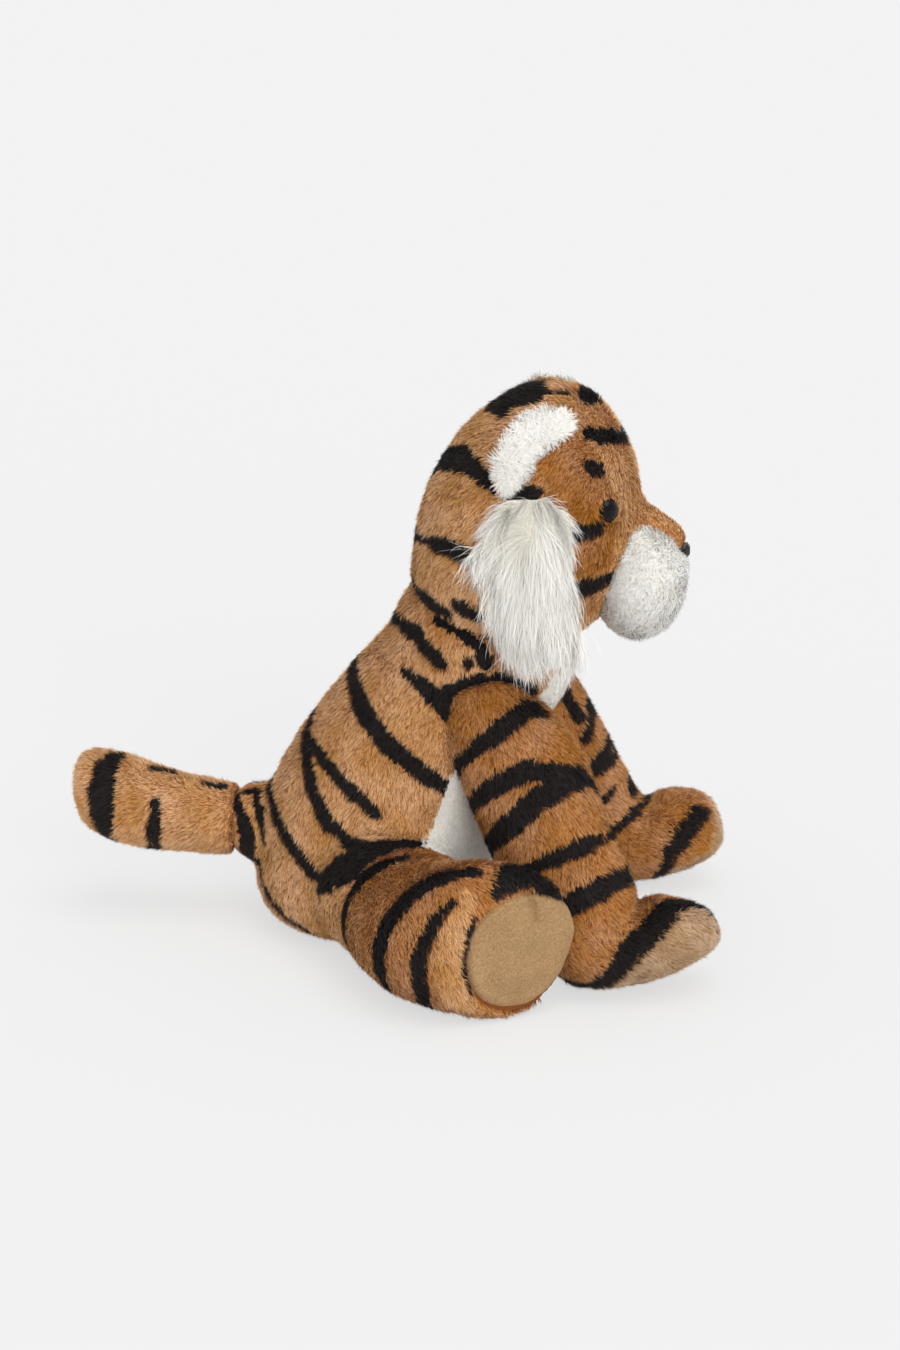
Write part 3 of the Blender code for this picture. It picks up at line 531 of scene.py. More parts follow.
@dataclass(frozen=True)
class SuedeFinish(Finish):
    """Brushed microfibre suede: a dry nap with a fine grain, with painted shade in its hollows."""

    low_hex: str
    mid_hex: str
    high_hex: str
    grain_mm: float = 1.1
    cloud_mm: float = 16.0

    def shader(self, tree: bpy.types.NodeTree, place: bpy.types.NodeSocket) -> bpy.types.Node:
        """Builds a napped grain, painted darker in its hollows, under wide soft clouds.

        Args:
            tree: The material's tree.
            place: The place on the suede.

        Returns:
            The shader that goes to the surface.
        """
        fine = {"Scale": 1 / (self.grain_mm * MM), "Detail": 4.0, "Roughness": 0.65}
        grain = add_node(tree, "ShaderNodeTexNoise", fine, {"Vector": place})
        wide = {"Scale": 1 / (self.cloud_mm * MM), "Detail": 1.0}
        clouds = add_node(tree, "ShaderNodeTexNoise", wide, {"Vector": place})
        # Painted shade: the colour darkens where the grain, which also makes the bump, is low.
        stops = ((0.32, self.low_hex), (0.5, self.mid_hex), (0.68, self.high_hex))
        ramp = add_node(tree, "ShaderNodeValToRGB", links={0: grain}, stops=stops)
        tones = NOISE_SPAN | {"To Min": 0.93, "To Max": 1.07}
        soft = add_node(tree, "ShaderNodeMapRange", tones, {"Value": clouds})
        colour = add_node(tree, "ShaderNodeHueSaturation", links={"Value": soft, "Color": ramp})
        nap = add_node(tree, "ShaderNodeBump", {"Strength": 0.5, "Distance": 0.25 * MM}, {"Height": grain})
        dry = {
            "Roughness": 0.9,
            "Specular IOR Level": 0.15,
            "Sheen Weight": 0.3,
            "Sheen Roughness": 0.5,
            "Sheen Tint": linear("#e8cfae"),
        }
        return add_node(tree, "ShaderNodeBsdfPrincipled", dry, {"Base Color": colour, "Normal": nap})


@dataclass(frozen=True)
class HardFinish(Finish):
    """A moulded or flocked hard piece: gloss from the shader, with a faint unevenness from the mould."""

    colour_hex: str
    roughness: float
    specular: float
    sheen: float = 0.0
    grain_mm: float = 0.8
    grain_depth_mm: float = 0.01

    def shader(self, tree: bpy.types.NodeTree, place: bpy.types.NodeSocket) -> bpy.types.Node:
        """Builds a slightly uneven surface of one colour.

        Args:
            tree: The material's tree.
            place: The place on the piece.

        Returns:
            The shader that goes to the surface.
        """
        fine = {"Scale": 1 / (self.grain_mm * MM), "Detail": 3.0}
        grain = add_node(tree, "ShaderNodeTexNoise", fine, {"Vector": place})
        tones = NOISE_SPAN | {"To Min": 0.8, "To Max": 1.2}
        tone = add_node(tree, "ShaderNodeMapRange", tones, {"Value": grain})
        dye = {"Color": linear(self.colour_hex)}
        colour = add_node(tree, "ShaderNodeHueSaturation", dye, {"Value": tone})
        relief = {"Strength": 0.3, "Distance": self.grain_depth_mm * MM}
        bump = add_node(tree, "ShaderNodeBump", relief, {"Height": grain})
        hard = {
            "Roughness": self.roughness,
            "Specular IOR Level": self.specular,
            "Sheen Weight": self.sheen,
            "Sheen Roughness": 0.4,
        }
        return add_node(tree, "ShaderNodeBsdfPrincipled", hard, {"Base Color": colour, "Normal": bump})


# Pale grey matt paint, which takes a soft shadow.
BOARD = BoardFinish("matt_painted_board", "#e6e6e6")
# Brushed acrylic pile: each coat is deep in its depth and paler at the tips, partly its own colour and partly
# painted shade in the depth and painted light on the tips.
PILE_FINISHES: dict[Coat, PileFinish] = {
    coat: PileFinish(name, root, middle, tip, sheen, tint, spread, depth)
    for coat, name, root, middle, tip, sheen, tint, spread, depth in (
        # Warm orange-brown with sandy tips.
        (Coat.BROWN, "acrylic_pile_brown", "#ab6938", "#d0985e", "#f3ca9b", 0.25, "#ffe2c4", 0.28, 0.15),
        # The same cloth as the brown, painted darker: painted shade for the legs and the sides of the face.
        (Coat.RUST, "acrylic_pile_rust", "#8f5226", "#b87a42", "#dba56c", 0.22, "#ffdcb8", 0.28, 0.15),
        # Printed black, with a faint bloom at the tips.
        (Coat.BLACK, "acrylic_pile_black", "#120e0d", "#1d1918", "#332c2b", 0.10, "#8c8288", 0.3, 0.15),
        # Clean short white, almost even.
        (Coat.WHITE, "acrylic_pile_white", "#f6f3ea", "#fbf9f3", "#fefdfa", 0.10, "#ffffff", 0.05, 0.03),
        # Long warm white, with painted shade between its locks, deepest at the roots.
        (Coat.CREAM, "acrylic_long_pile_cream", "#dad5c9", "#f2efe7", "#fdfcf9", 0.10, "#ffffff", 0.08, 0.05),
        # Short sand-coloured pile under the paws.
        (Coat.TAN, "acrylic_pile_sand", "#a57d59", "#c29f7b", "#dabc9b", 0.22, "#ffe8cf", 0.22, 0.15),
    )
}
# The knitted ground under each pile, a shade deeper than its roots: painted shade for the depth under the
# fibres.
BACKINGS: dict[Coat, KnitBackingFinish] = {
    coat: KnitBackingFinish(f"knitted_ground_{word}", code)
    for coat, word, code in (
        (Coat.BROWN, "brown", "#9f673b"),
        (Coat.RUST, "rust", "#864f27"),
        (Coat.BLACK, "black", "#141011"),
        (Coat.WHITE, "white", "#f9f6ee"),
        (Coat.CREAM, "cream", "#e4dfd2"),
        (Coat.TAN, "sand", "#a67f58"),
    )
}
# Microfibre suede: a soft dry nap on the soles.
SUEDE = SuedeFinish("microfibre_suede_tan", "#886945", "#9b7b56", "#aa8a64")
# Moulded black plastic, polished: the small bright dome of a safety eye.
EYE_PLASTIC = HardFinish("polished_black_plastic", "#070506", 0.06, 0.2)
# Flocked velvet: matt black with a soft edge.
NOSE_VELVET = HardFinish("flocked_velvet_black", "#17130f", 0.9, 0.1, 0.5, 0.6, 0.3)


# Coat pattern


@dataclass(frozen=True)
class Stroke:
    """One brush stroke of colour: picture points with the stroke's width there, all in pixels.

    run_on carries the stroke's first and last end round the skin, in millimetres, where the camera can't see.
    """

    path: tuple[tuple[float, float, float], ...]
    run_on: tuple[float, float] = (0.0, 0.0)


class Brushwork:
    """Strokes laid onto a skin, ready to be measured against."""

    STEP = 3 * MM
    # How strongly a stroke that is carried on turns towards the middle plane.
    TURN_OVER = 0.6
    # A picture pixel's size on the skins that the strokes are mirrored onto.
    MIRROR_PX = 0.5 * MM

    def __init__(self, tree: BVHTree, strokes: tuple[Stroke, ...], mirror: bool, meets: bool) -> None:
        """Lays strokes onto a skin.

        Args:
            tree: The skin that the strokes lie on.
            strokes: The strokes, in picture pixels.
            mirror: Whether the skin is the left one of a pair, which takes the right one's strokes.
            meets: Whether a stroke that is carried on meets its own mirror image at the middle plane.
        """
        self.starts: list[np.ndarray] = []
        self.ends: list[np.ndarray] = []
        self.widths: list[tuple[float, float]] = []
        self.tree = tree
        self.mirror = mirror
        self.meets = meets
        for stroke in strokes:
            self.lay(stroke)

    def drop(self, x: float, y: float) -> Vector:
        """Finds where a picture point falls on the skin.

        Args:
            x: Pixels from the left.
            y: Pixels from the top.

        Returns:
            The place on the skin, or the skin's nearest place to the line of sight.
        """
        eye, way = STUDIO.eye(), STUDIO.through(x, y)
        if self.mirror:
            eye.y, way.y = -eye.y, -way.y
        hit = self.tree.ray_cast(eye, way)[0]
        if hit is not None:
            return hit
        tries = [eye + way * (STUDIO.distance + k * 4 * MM) for k in range(-45, 46)]
        nearest = min((self.tree.find_nearest(p) for p in tries), key=lambda found: found[3])
        return nearest[0]

    def carry(self, at: Vector, way: Vector, length: float) -> list[Vector]:
        """Walks on over the skin.

        Args:
            at: Where the walk starts.
            way: The direction of its first step.
            length: How far it goes, in metres.

        Returns:
            The places passed.
        """
        passed = []
        over = Vector((0, -1 if self.mirror else 1, 0))
        for _ in range(round(length / self.STEP)):
            way = way.normalized()
            if self.meets:
                way = (way + over * self.TURN_OVER).normalized()
            after = self.tree.find_nearest(at + way * self.STEP)[0]
            crossed = self.meets and after.y * over.y >= 0
            way, at = after - at, after
            if way.length < 1e-6:
                break
            passed.append(after)
            if crossed:
                break
        return passed

    def lay(self, stroke: Stroke) -> None:
        """Lays one stroke onto the skin, with its ends carried on.

        Args:
            stroke: The stroke.
        """
        eye = STUDIO.eye()
        places, widths = [], []
        for x, y, wide in stroke.path:
            place = self.drop(x, y)
            places.append(place)
            per_px = self.MIRROR_PX if self.mirror else (place - eye).length / STUDIO.focal_px
            widths.append(wide * per_px)
        first, last = stroke.run_on
        if first and len(places) > 1:
            more = self.carry(places[0], places[0] - places[1], first * MM)
            places = more[::-1] + places
            widths = [widths[0]] * len(more) + widths
        if last and len(places) > 1:
            more = self.carry(places[-1], places[-1] - places[-2], last * MM)
            places, widths = places + more, widths + [widths[-1]] * len(more)
        for k in range(max(1, len(places) - 1)):
            other = min(k + 1, len(places) - 1)
            self.starts.append(np.array(places[k]))
            self.ends.append(np.array(places[other]))
            self.widths.append((widths[k], widths[other]))

    def depth(self, points: np.ndarray, both_sides: bool) -> np.ndarray:
        """Measures how far points lie outside the strokes.

        Args:
            points: Places on the skin.
            both_sides: Whether the strokes count on both sides of the tiger.

        Returns:
            Metres outside the nearest stroke, negative inside one.
        """
        least = np.full(len(points), FAR)
        looks = [points]
        if both_sides:
            looks.append(points * np.array([1.0, -1.0, 1.0]))
        for look in looks:
            for a, b, (wide_a, wide_b) in zip(self.starts, self.ends, self.widths):
                along = b - a
                t = np.clip((look - a) @ along / max(float(along @ along), 1e-12), 0, 1)
                off = np.linalg.norm(look - (a + t[:, None] * along), axis=1)
                least = np.minimum(least, off - (wide_a + (wide_b - wide_a) * t) / 2)
        return least


TORSO_STROKES: tuple[Stroke, ...] = (
    Stroke(((396, 612, 13), (418, 630, 17), (441, 660, 14)), (22, 0)),
    Stroke(((406, 668, 9), (424, 682, 15), (441, 699, 20), (449, 716, 8))),
    Stroke(((441, 699, 18), (466, 682, 18), (500, 679, 18), (532, 688, 14))),
    Stroke(((468, 660, 9), (470, 663, 8))),
    # Painted shade: the dark crease where the head meets the torso, painted black.
    Stroke(((438, 618, 8), (460, 631, 9), (478, 641, 11), (487, 660, 14))),
    Stroke(
        ((350, 652, 14), (357, 683, 18), (367, 712, 20), (392, 744, 19), (422, 768, 18), (446, 786, 14)),
        (30, 0),
    ),
    Stroke(
        ((312, 722, 12), (309, 756, 16), (316, 792, 16), (330, 822, 15), (355, 843, 14), (396, 851, 9)),
        (30, 0),
    ),
    Stroke(((313, 740, 9), (330, 762, 13), (352, 787, 14), (378, 812, 10))),
    Stroke(((321, 884, 16), (342, 868, 34), (372, 856, 38), (402, 848, 26), (424, 844, 10))),
    Stroke(((273, 792, 10), (282, 822, 15), (296, 848, 14), (314, 870, 14), (332, 884, 10)), (12, 0)),
    Stroke(((262, 817, 8), (266, 838, 7)), (14, 0)),
    Stroke(((238, 796, 9), (244, 818, 13), (249, 838, 17), (248, 856, 17)), (0, 20)),
    Stroke(((247, 791, 6), (260, 791, 7))),
    Stroke(((263, 868, 8), (272, 898, 10), (298, 922, 9)), (10, 10)),
)
# The white of the throat, above the bib.
THROAT: tuple[Stroke, ...] = (Stroke(((580, 640, 46), (570, 668, 46), (562, 700, 40))),)
HEAD_STROKES: tuple[Stroke, ...] = (
    Stroke(((500, 400, 14), (512, 400, 32), (526, 395, 42), (536, 392, 30))),
    Stroke(((492, 407, 8), (508, 412, 14))),
    Stroke(((511, 402, 22), (512, 393, 22)), (0, 45)),
    Stroke(((532, 396, 30), (533, 387, 30)), (0, 45)),
    # Painted shadow: the shaded edge behind the ear, painted black.
    Stroke(((553, 393, 6), (570, 395, 5))),
    Stroke(((586, 400, 14), (597, 402, 10))),
    Stroke(((586, 400, 14), (588, 396, 14)), (0, 35)),
    Stroke(((588, 434, 12), (602, 435, 17), (613, 436, 17), (619, 436, 15)), (0, 16)),
    Stroke(((591, 464, 12), (598, 468, 16))),
    Stroke(((441, 459, 24), (461, 456, 30), (480, 468, 17), (497, 486, 13)), (45, 0)),
    Stroke(((510, 495, 7), (524, 492, 12), (537, 491, 15))),
    Stroke(((418, 531, 16), (446, 543, 18), (482, 559, 16)), (45, 0)),
    Stroke(((413, 584, 15), (430, 599, 17), (448, 610, 12)), (45, 0)),
    Stroke(((457, 602, 12), (466, 607, 17), (480, 614, 15))),
    Stroke(((566, 531, 14), (582, 530, 17), (597, 527, 15))),
    Stroke(((578, 586, 20), (594, 583, 20), (610, 577, 15))),
    # Painted shade: the dark crease at the neck, painted black.
    Stroke(((432, 611, 7), (455, 624, 8), (478, 636, 9), (490, 658, 13))),
)
# Painted shade on the sides of the face, in the brown's darker copy.
HEAD_PAINTED_SHADE: tuple[Stroke, ...] = (
    Stroke(((545, 452, 50), (566, 474, 84), (580, 515, 88), (586, 560, 70), (580, 600, 46))),
)
FRONT_LEG_STROKES: tuple[Stroke, ...] = (
    Stroke(((448, 770, 16), (478, 744, 18), (508, 722, 20), (530, 706, 22), (541, 712, 12)), (14, 0)),
    Stroke(
        ((466, 807, 16), (486, 790, 18), (508, 775, 22), (530, 768, 20), (560, 770, 18), (580, 775, 14)),
        (14, 16),
    ),
    Stroke(((486, 846, 20), (510, 822, 24), (532, 802, 24), (556, 785, 26), (578, 774, 22)), (14, 0)),
    Stroke(((520, 868, 10), (552, 858, 16), (586, 842, 18), (618, 826, 12)), (10, 20)),
    Stroke(((580, 897, 22), (612, 880, 22), (638, 867, 20)), (14, 0)),
    Stroke(((556, 985, 16), (590, 984, 22), (612, 972, 20), (632, 946, 24), (656, 922, 24)), (6, 0)),
)
# The band's end over the near paw's toe.
TOE_STROKES: tuple[Stroke, ...] = (
    Stroke(((656, 922, 26), (676, 904, 24), (702, 899, 20), (714, 912, 15))),
)
# Strokes on the inner face of the far front leg, which the camera sees past the near one.
INNER_LEG_STROKES: tuple[Stroke, ...] = (
    Stroke(((572, 706, 14), (578, 716, 12)), (10, 0)),
    Stroke(((604, 748, 14), (594, 762, 16), (586, 774, 14)), (10, 6)),
    Stroke(((610, 788, 8), (602, 798, 10))),
    Stroke(((646, 798, 12), (630, 812, 12), (612, 828, 8)), (14, 0)),
    Stroke(((699, 812, 18), (684, 830, 19), (670, 850, 16), (660, 870, 12)), (0, 6)),
)
HIND_LEG_STROKES: tuple[Stroke, ...] = (
    Stroke(((374, 870, 16), (353, 888, 18), (344, 914, 16), (340, 943, 15), (347, 960, 10)), (16, 0)),
    Stroke(
        (
            (463, 872, 10),
            (432, 880, 18),
            (405, 899, 19),
            (387, 922, 18),
            (379, 945, 18),
            (379, 966, 16),
            (387, 986, 12),
        ),
        (6, 10),
    ),
    Stroke(
        ((454, 899, 6), (436, 918, 12), (423, 941, 14), (417, 962, 17), (419, 986, 16), (425, 1008, 14)),
        (0, 18),
    ),
    Stroke(((494, 890, 12), (506, 877, 26), (524, 869, 32), (546, 869, 32), (564, 877, 28), (577, 890, 14))),
    Stroke(((474, 914, 5), (466, 938, 6), (463, 965, 7), (469, 990, 6))),
)
# Round the foot, before the sole, the pile is the plain brown, paler than the leg's painted shade.
HIND_LEG_PALE: tuple[Stroke, ...] = (
    Stroke(((466, 898, 12), (452, 925, 24), (448, 955, 30), (452, 985, 28), (466, 1012, 20)), (0, 10)),
)
TAIL_STROKES: tuple[Stroke, ...] = (
    Stroke(((122, 757, 12), (108, 770, 22), (103, 790, 26), (105, 815, 24), (112, 838, 15)), (0, 45)),
    Stroke(((158, 802, 10), (156, 824, 15), (157, 846, 13)), (0, 35)),
    Stroke(((155, 769, 8), (176, 774, 9))),
    Stroke(((208, 786, 8), (224, 788, 10))),
)


# Pile


@dataclass(frozen=True)
class Roots:
    """Where fibres grow: places on the skin, unit normals, comb directions and shares of the full length."""

    places: np.ndarray
    normals: np.ndarray
    comb: np.ndarray
    reach: np.ndarray
    seed: int

    def clumps(self, cell: float, swell: float, warp: float) -> tuple[np.ndarray, np.ndarray]:
        """Gathers the roots into uneven clumps.

        Args:
            cell: The size of a clump, in metres.
            swell: The size of the unevenness, in clumps.
            warp: How far it moves the clumps' edges, in clumps.

        Returns:
            The cell numbers of each root's clump, and the way along the skin to the clump's middle.
        """
        uneven = threefold(soft_noise, self.places, cell * swell, seed=self.seed + 1)
        cells = np.floor(self.places / cell + warp * uneven)
        middles = (cells + 0.2 + 0.6 * threefold(lattice, cells, seed=self.seed + 4)) * cell
        pull = middles - self.places
        return cells, pull - self.normals * np.sum(pull * self.normals, axis=1, keepdims=True)


@dataclass(frozen=True)
class Pile:
    """A pile fabric's fibres, drawn coarser than real ones of a few hundredths of a millimetre, to show."""

    length_mm: float = 4.8
    per_mm2: float = 3.2
    fibre_mm: float = 0.31
    lean: float = 0.78
    stray: float = 0.24
    clump_mm: float = 2.3
    clump: float = 0.36
    segments: int = 2
    normal_from_skin: float = 0.85
    curl_mm: float = 0.0
    curl_turns: float = 1.0
    # How much a fibre slims towards its tip, and the power of its way along that the slimming follows.
    taper: tuple[float, float] = (0.55, 1.4)
    # How unevenly the fibres face the light.
    grain: float = 0.13
    # How deep below the skin a fibre starts, and the swirls that the nap lies in.
    root_mm: float = 0.3
    swirl_mm: float = 9.0
    swirl: float = 0.45
    # The unevenness of the clumps' edges, as clumps of size and of shift.
    edge_swell: float = 2.3
    edge_shift: float = 0.55
    # The shortest and longest share of its length that a fibre gets.
    trim: tuple[float, float] = (0.75, 1.1)
    # How much shorter the shortest clump is.
    uneven: float = 0.3
    # How far a fibre turns about its own line, and the least and greatest share of its width.
    twist: float = 0.45
    thick: tuple[float, float] = (0.7, 1.2)

    def course(self, roots: Roots, rng: np.random.Generator) -> tuple[np.ndarray, np.ndarray]:
        """Leads each fibre from its root over its neighbours.

        Args:
            roots: The fibres' roots.
            rng: The source of what is random.

        Returns:
            The points of each fibre from root to tip, and the cell numbers of its clump.
        """
        seed, normals, count = roots.seed, roots.normals, len(roots.places)
        cells, pull = roots.clumps(self.clump_mm * MM, self.edge_swell, self.edge_shift)
        short = 1 - self.uneven * lattice(cells, seed + 7)
        swirl = threefold(soft_noise, roots.places, self.swirl_mm * MM, seed=seed + 8)
        stray = self.stray * rng.normal(size=(count, 3))
        comb = along_surface(roots.comb + self.swirl * swirl + stray, normals)
        length = self.length_mm * MM * roots.reach * short * rng.uniform(*self.trim, count)
        lean = np.clip(self.lean + 0.12 * rng.normal(size=count) + 0.1 * swirl[:, 0], 0.02, 0.97)
        points = [roots.places - normals * self.root_mm * MM]
        for k in range(self.segments):
            bend = np.clip(lean * (0.55 + 0.75 * (k + 1) / self.segments), 0, 0.98)[:, None]
            way = unit(normals * np.sqrt(1 - bend**2) + comb * bend)
            share = ((k + 1) / self.segments) ** 1.5 - (k / self.segments) ** 1.5
            points.append(points[-1] + way * (length / self.segments)[:, None] + pull * self.clump * share)
        line = np.stack(points, axis=1)
        line[:, :, 2] = np.maximum(line[:, :, 2], FIBRE_CLEARANCE)
        return line, cells

    def aside(self, seed: int, cells: np.ndarray, facing: np.ndarray) -> np.ndarray:
        """How the shading normals leave the skin's: here a little towards each fibre's own face."""
        return facing * (1 - self.normal_from_skin)

    def fibres(self, roots: Roots) -> tuple[np.ndarray, np.ndarray, np.ndarray, np.ndarray]:
        """Grows one fibre from each root.

        Args:
            roots: The fibres' roots.

        Returns:
            For each fibre, its points from root to tip, its half-width vectors at them, its shading normal
            and its random tone from 0 to 1.
        """
        rng = np.random.default_rng(roots.seed)
        normals, count = roots.normals, len(roots.places)
        line, cells = self.course(roots, rng)
        along = unit(line[:, -1] - line[:, 0])
        across = unit(np.cross(along, normals + self.twist * rng.normal(size=(count, 3))))
        across *= np.sign(np.sum(np.cross(across, along) * normals, axis=1, keepdims=True) + 1e-9)
        if self.curl_mm:
            line = self.curled(line, along, across, lattice(cells, roots.seed + 11))
        loss, power = self.taper
        slim = np.array([1.0 - loss * (k / self.segments) ** power for k in range(self.segments)] + [0.0])
        half = self.fibre_mm * MM / 2 * rng.uniform(*self.thick, count)
        sides = across[:, None, :] * half[:, None, None] * slim[None, :, None]
        aside = self.aside(roots.seed, cells, unit(np.cross(across, along)))
        shade = unit(normals * self.normal_from_skin + aside + self.grain * rng.normal(size=(count, 3)))
        return line, sides, shade, rng.uniform(0, 1, count)

    def curled(
        self, line: np.ndarray, along: np.ndarray, across: np.ndarray, phase: np.ndarray
    ) -> np.ndarray:
        """Winds fibres round their own line, those of one clump alike.

        Args:
            line: Points of each fibre from root to tip.
            along: Each fibre's unit direction.
            across: A unit vector square to it.
            phase: Where on its turn each fibre starts, from 0 to 1.

        Returns:
            The points, moved.
        """
        other = np.cross(along, across)
        made = line.copy()
        for k in range(1, line.shape[1]):
            share = k / (line.shape[1] - 1)
            angle = (2 * math.pi * (phase + self.curl_turns * share))[:, None]
            made[:, k] += (across * np.cos(angle) + other * np.sin(angle)) * (self.curl_mm * MM * share)
        made[:, :, 2] = np.maximum(made[:, :, 2], FIBRE_CLEARANCE)
        return made


@dataclass(frozen=True)
class LongPile(Pile):
    """Long loose pile: locks that leave the skin flat, bend under their own weight and part into wisps."""

    taper: tuple[float, float] = (0.6, 1.6)
    grain: float = 0.15
    root_mm: float = 0.4
    swirl_mm: float = 12.0
    swirl: float = 0.35
    edge_swell: float = 1.7
    edge_shift: float = 0.8
    trim: tuple[float, float] = (0.45, 1.08)
    # How fast a lock falls, how strongly it waves and how steeply it leaves the skin.
    weight: float = 0.24
    wave: float = 0.30
    lift: float = 0.34
    # How far the locks part, and how far their shading does.
    parting: float = 0.6
    shade_parting: float = 0.35
    # The shortest lock's share of the full length, and how much more the longest has.
    shortest: float = 0.70
    uneven: float = 0.45

    def course(self, roots: Roots, rng: np.random.Generator) -> tuple[np.ndarray, np.ndarray]:
        """Leads each fibre from its root down with its lock.

        Args:
            roots: The fibres' roots.
            rng: The source of what is random.

        Returns:
            The points of each fibre from root to tip, and the cell numbers of its lock.
        """
        seed, normals, count = roots.seed, roots.normals, len(roots.places)
        cells, pull = roots.clumps(self.clump_mm * MM, self.edge_swell, self.edge_shift)
        lock = threefold(lattice, cells, seed=seed + 7) - 0.5
        short = self.shortest + self.uneven * lattice(cells, seed + 10)
        swirl = threefold(soft_noise, roots.places, self.swirl_mm * MM, seed=seed + 11)
        stray = self.stray * rng.normal(size=(count, 3))
        comb = along_surface(unit(roots.comb) + self.swirl * swirl + self.parting * lock + stray, normals)
        length = self.length_mm * MM * roots.reach * short * rng.uniform(*self.trim, count)
        way = unit(comb + normals * (self.lift * rng.uniform(0.2, 1.2, count))[:, None])
        points = [roots.places - normals * self.root_mm * MM]
        bow = lock * self.wave + self.wave * 0.5 * rng.normal(size=(count, 3))
        for k in range(self.segments):
            share = (k + 1) / self.segments
            drift = bow * math.cos(math.pi * 1.3 * share)
            way = unit(way + np.array([0.0, 0.0, -self.weight]) + drift)
            inward = np.minimum(np.sum(way * normals, axis=1, keepdims=True), 0)
            way = unit(way - normals * inward * (1 - 0.5 * share))
            step = points[-1] + way * (length / self.segments)[:, None]
            points.append(step + pull * self.clump * (share**1.5 - (k / self.segments) ** 1.5))
        return np.stack(points, axis=1), cells

    def aside(self, seed: int, cells: np.ndarray, facing: np.ndarray) -> np.ndarray:
        """How the shading normals leave the skin's: here together in each lock."""
        return self.shade_parting * (threefold(lattice, cells, seed=seed + 7) - 0.5)


def fibre_mesh(
    name: str,
    line: np.ndarray,
    sides: np.ndarray,
    shade: np.ndarray,
    tone: np.ndarray,
    chart: np.ndarray,
) -> bpy.types.Mesh:
    """Makes one mesh of many tapering fibres.

    Args:
        name: The mesh's name.
        line: Points of each fibre from root to tip.
        sides: Half-width vectors at the points.
        shade: One shading normal for each fibre.
        tone: A random tone for each fibre.
        chart: The root's place on the skin's map.

    Returns:
        The mesh, with its maps and shading normals.
    """
    count, rows = line.shape[:2]
    segments = rows - 1
    per = 2 * segments + 1
    steps = np.arange(count, dtype=np.int32)[:, None]
    places = np.zeros((count, per, 3), np.float32)
    places[:, 0 : 2 * segments : 2] = line[:, :-1] - sides[:, :-1]
    places[:, 1 : 2 * segments : 2] = line[:, :-1] + sides[:, :-1]
    places[:, -1] = line[:, -1]
    faces, starts = [], [0]
    for k in range(segments - 1):
        faces += [2 * k, 2 * k + 1, 2 * k + 3, 2 * k + 2]
        starts.append(len(faces))
    faces += [2 * segments - 2, 2 * segments - 1, 2 * segments]
    pattern = np.array(faces, np.int32)
    corners = (steps * per + pattern).ravel()
    begins = (steps * len(faces) + np.array(starts, np.int32)).ravel()
    mesh = bpy.data.meshes.new(name)
    mesh.vertices.add(count * per)
    mesh.vertices.foreach_set("co", places.ravel())
    mesh.loops.add(len(corners))
    mesh.loops.foreach_set("vertex_index", corners)
    mesh.polygons.add(len(begins))
    mesh.polygons.foreach_set("loop_start", begins)
    mesh.update(calc_edges=True)
    height = np.zeros(per, np.float32)
    for k in range(segments):
        height[2 * k : 2 * k + 2] = k / segments
    height[-1] = 1.0
    side = np.zeros(per, np.float32)
    side[1::2] = 1.0
    strand = np.zeros((count, per, 2), np.float32)
    strand[:, :, 0] = tone[:, None]
    strand[:, :, 1] = height[None, :]
    baked = np.zeros((count, per, 2), np.float32)
    # A fibre takes this much of the map named for baking its colour.
    texel = 1.6 / 1024
    baked[:, :, 0] = chart[:, 0, None] + side[None, :] * texel
    baked[:, :, 1] = chart[:, 1, None] + height[None, :] * texel
    for title, values in (("OFBake", baked), ("Strand", strand)):
        layer = mesh.uv_layers.new(name=title)
        flat = values.reshape(-1, 2)[corners]
        layer.data.foreach_set("uv", flat.ravel())
    normals = np.repeat(shade, per, axis=0)
    mesh.normals_split_custom_set_from_vertices(normals.tolist())
    return mesh


# Stuffed parts


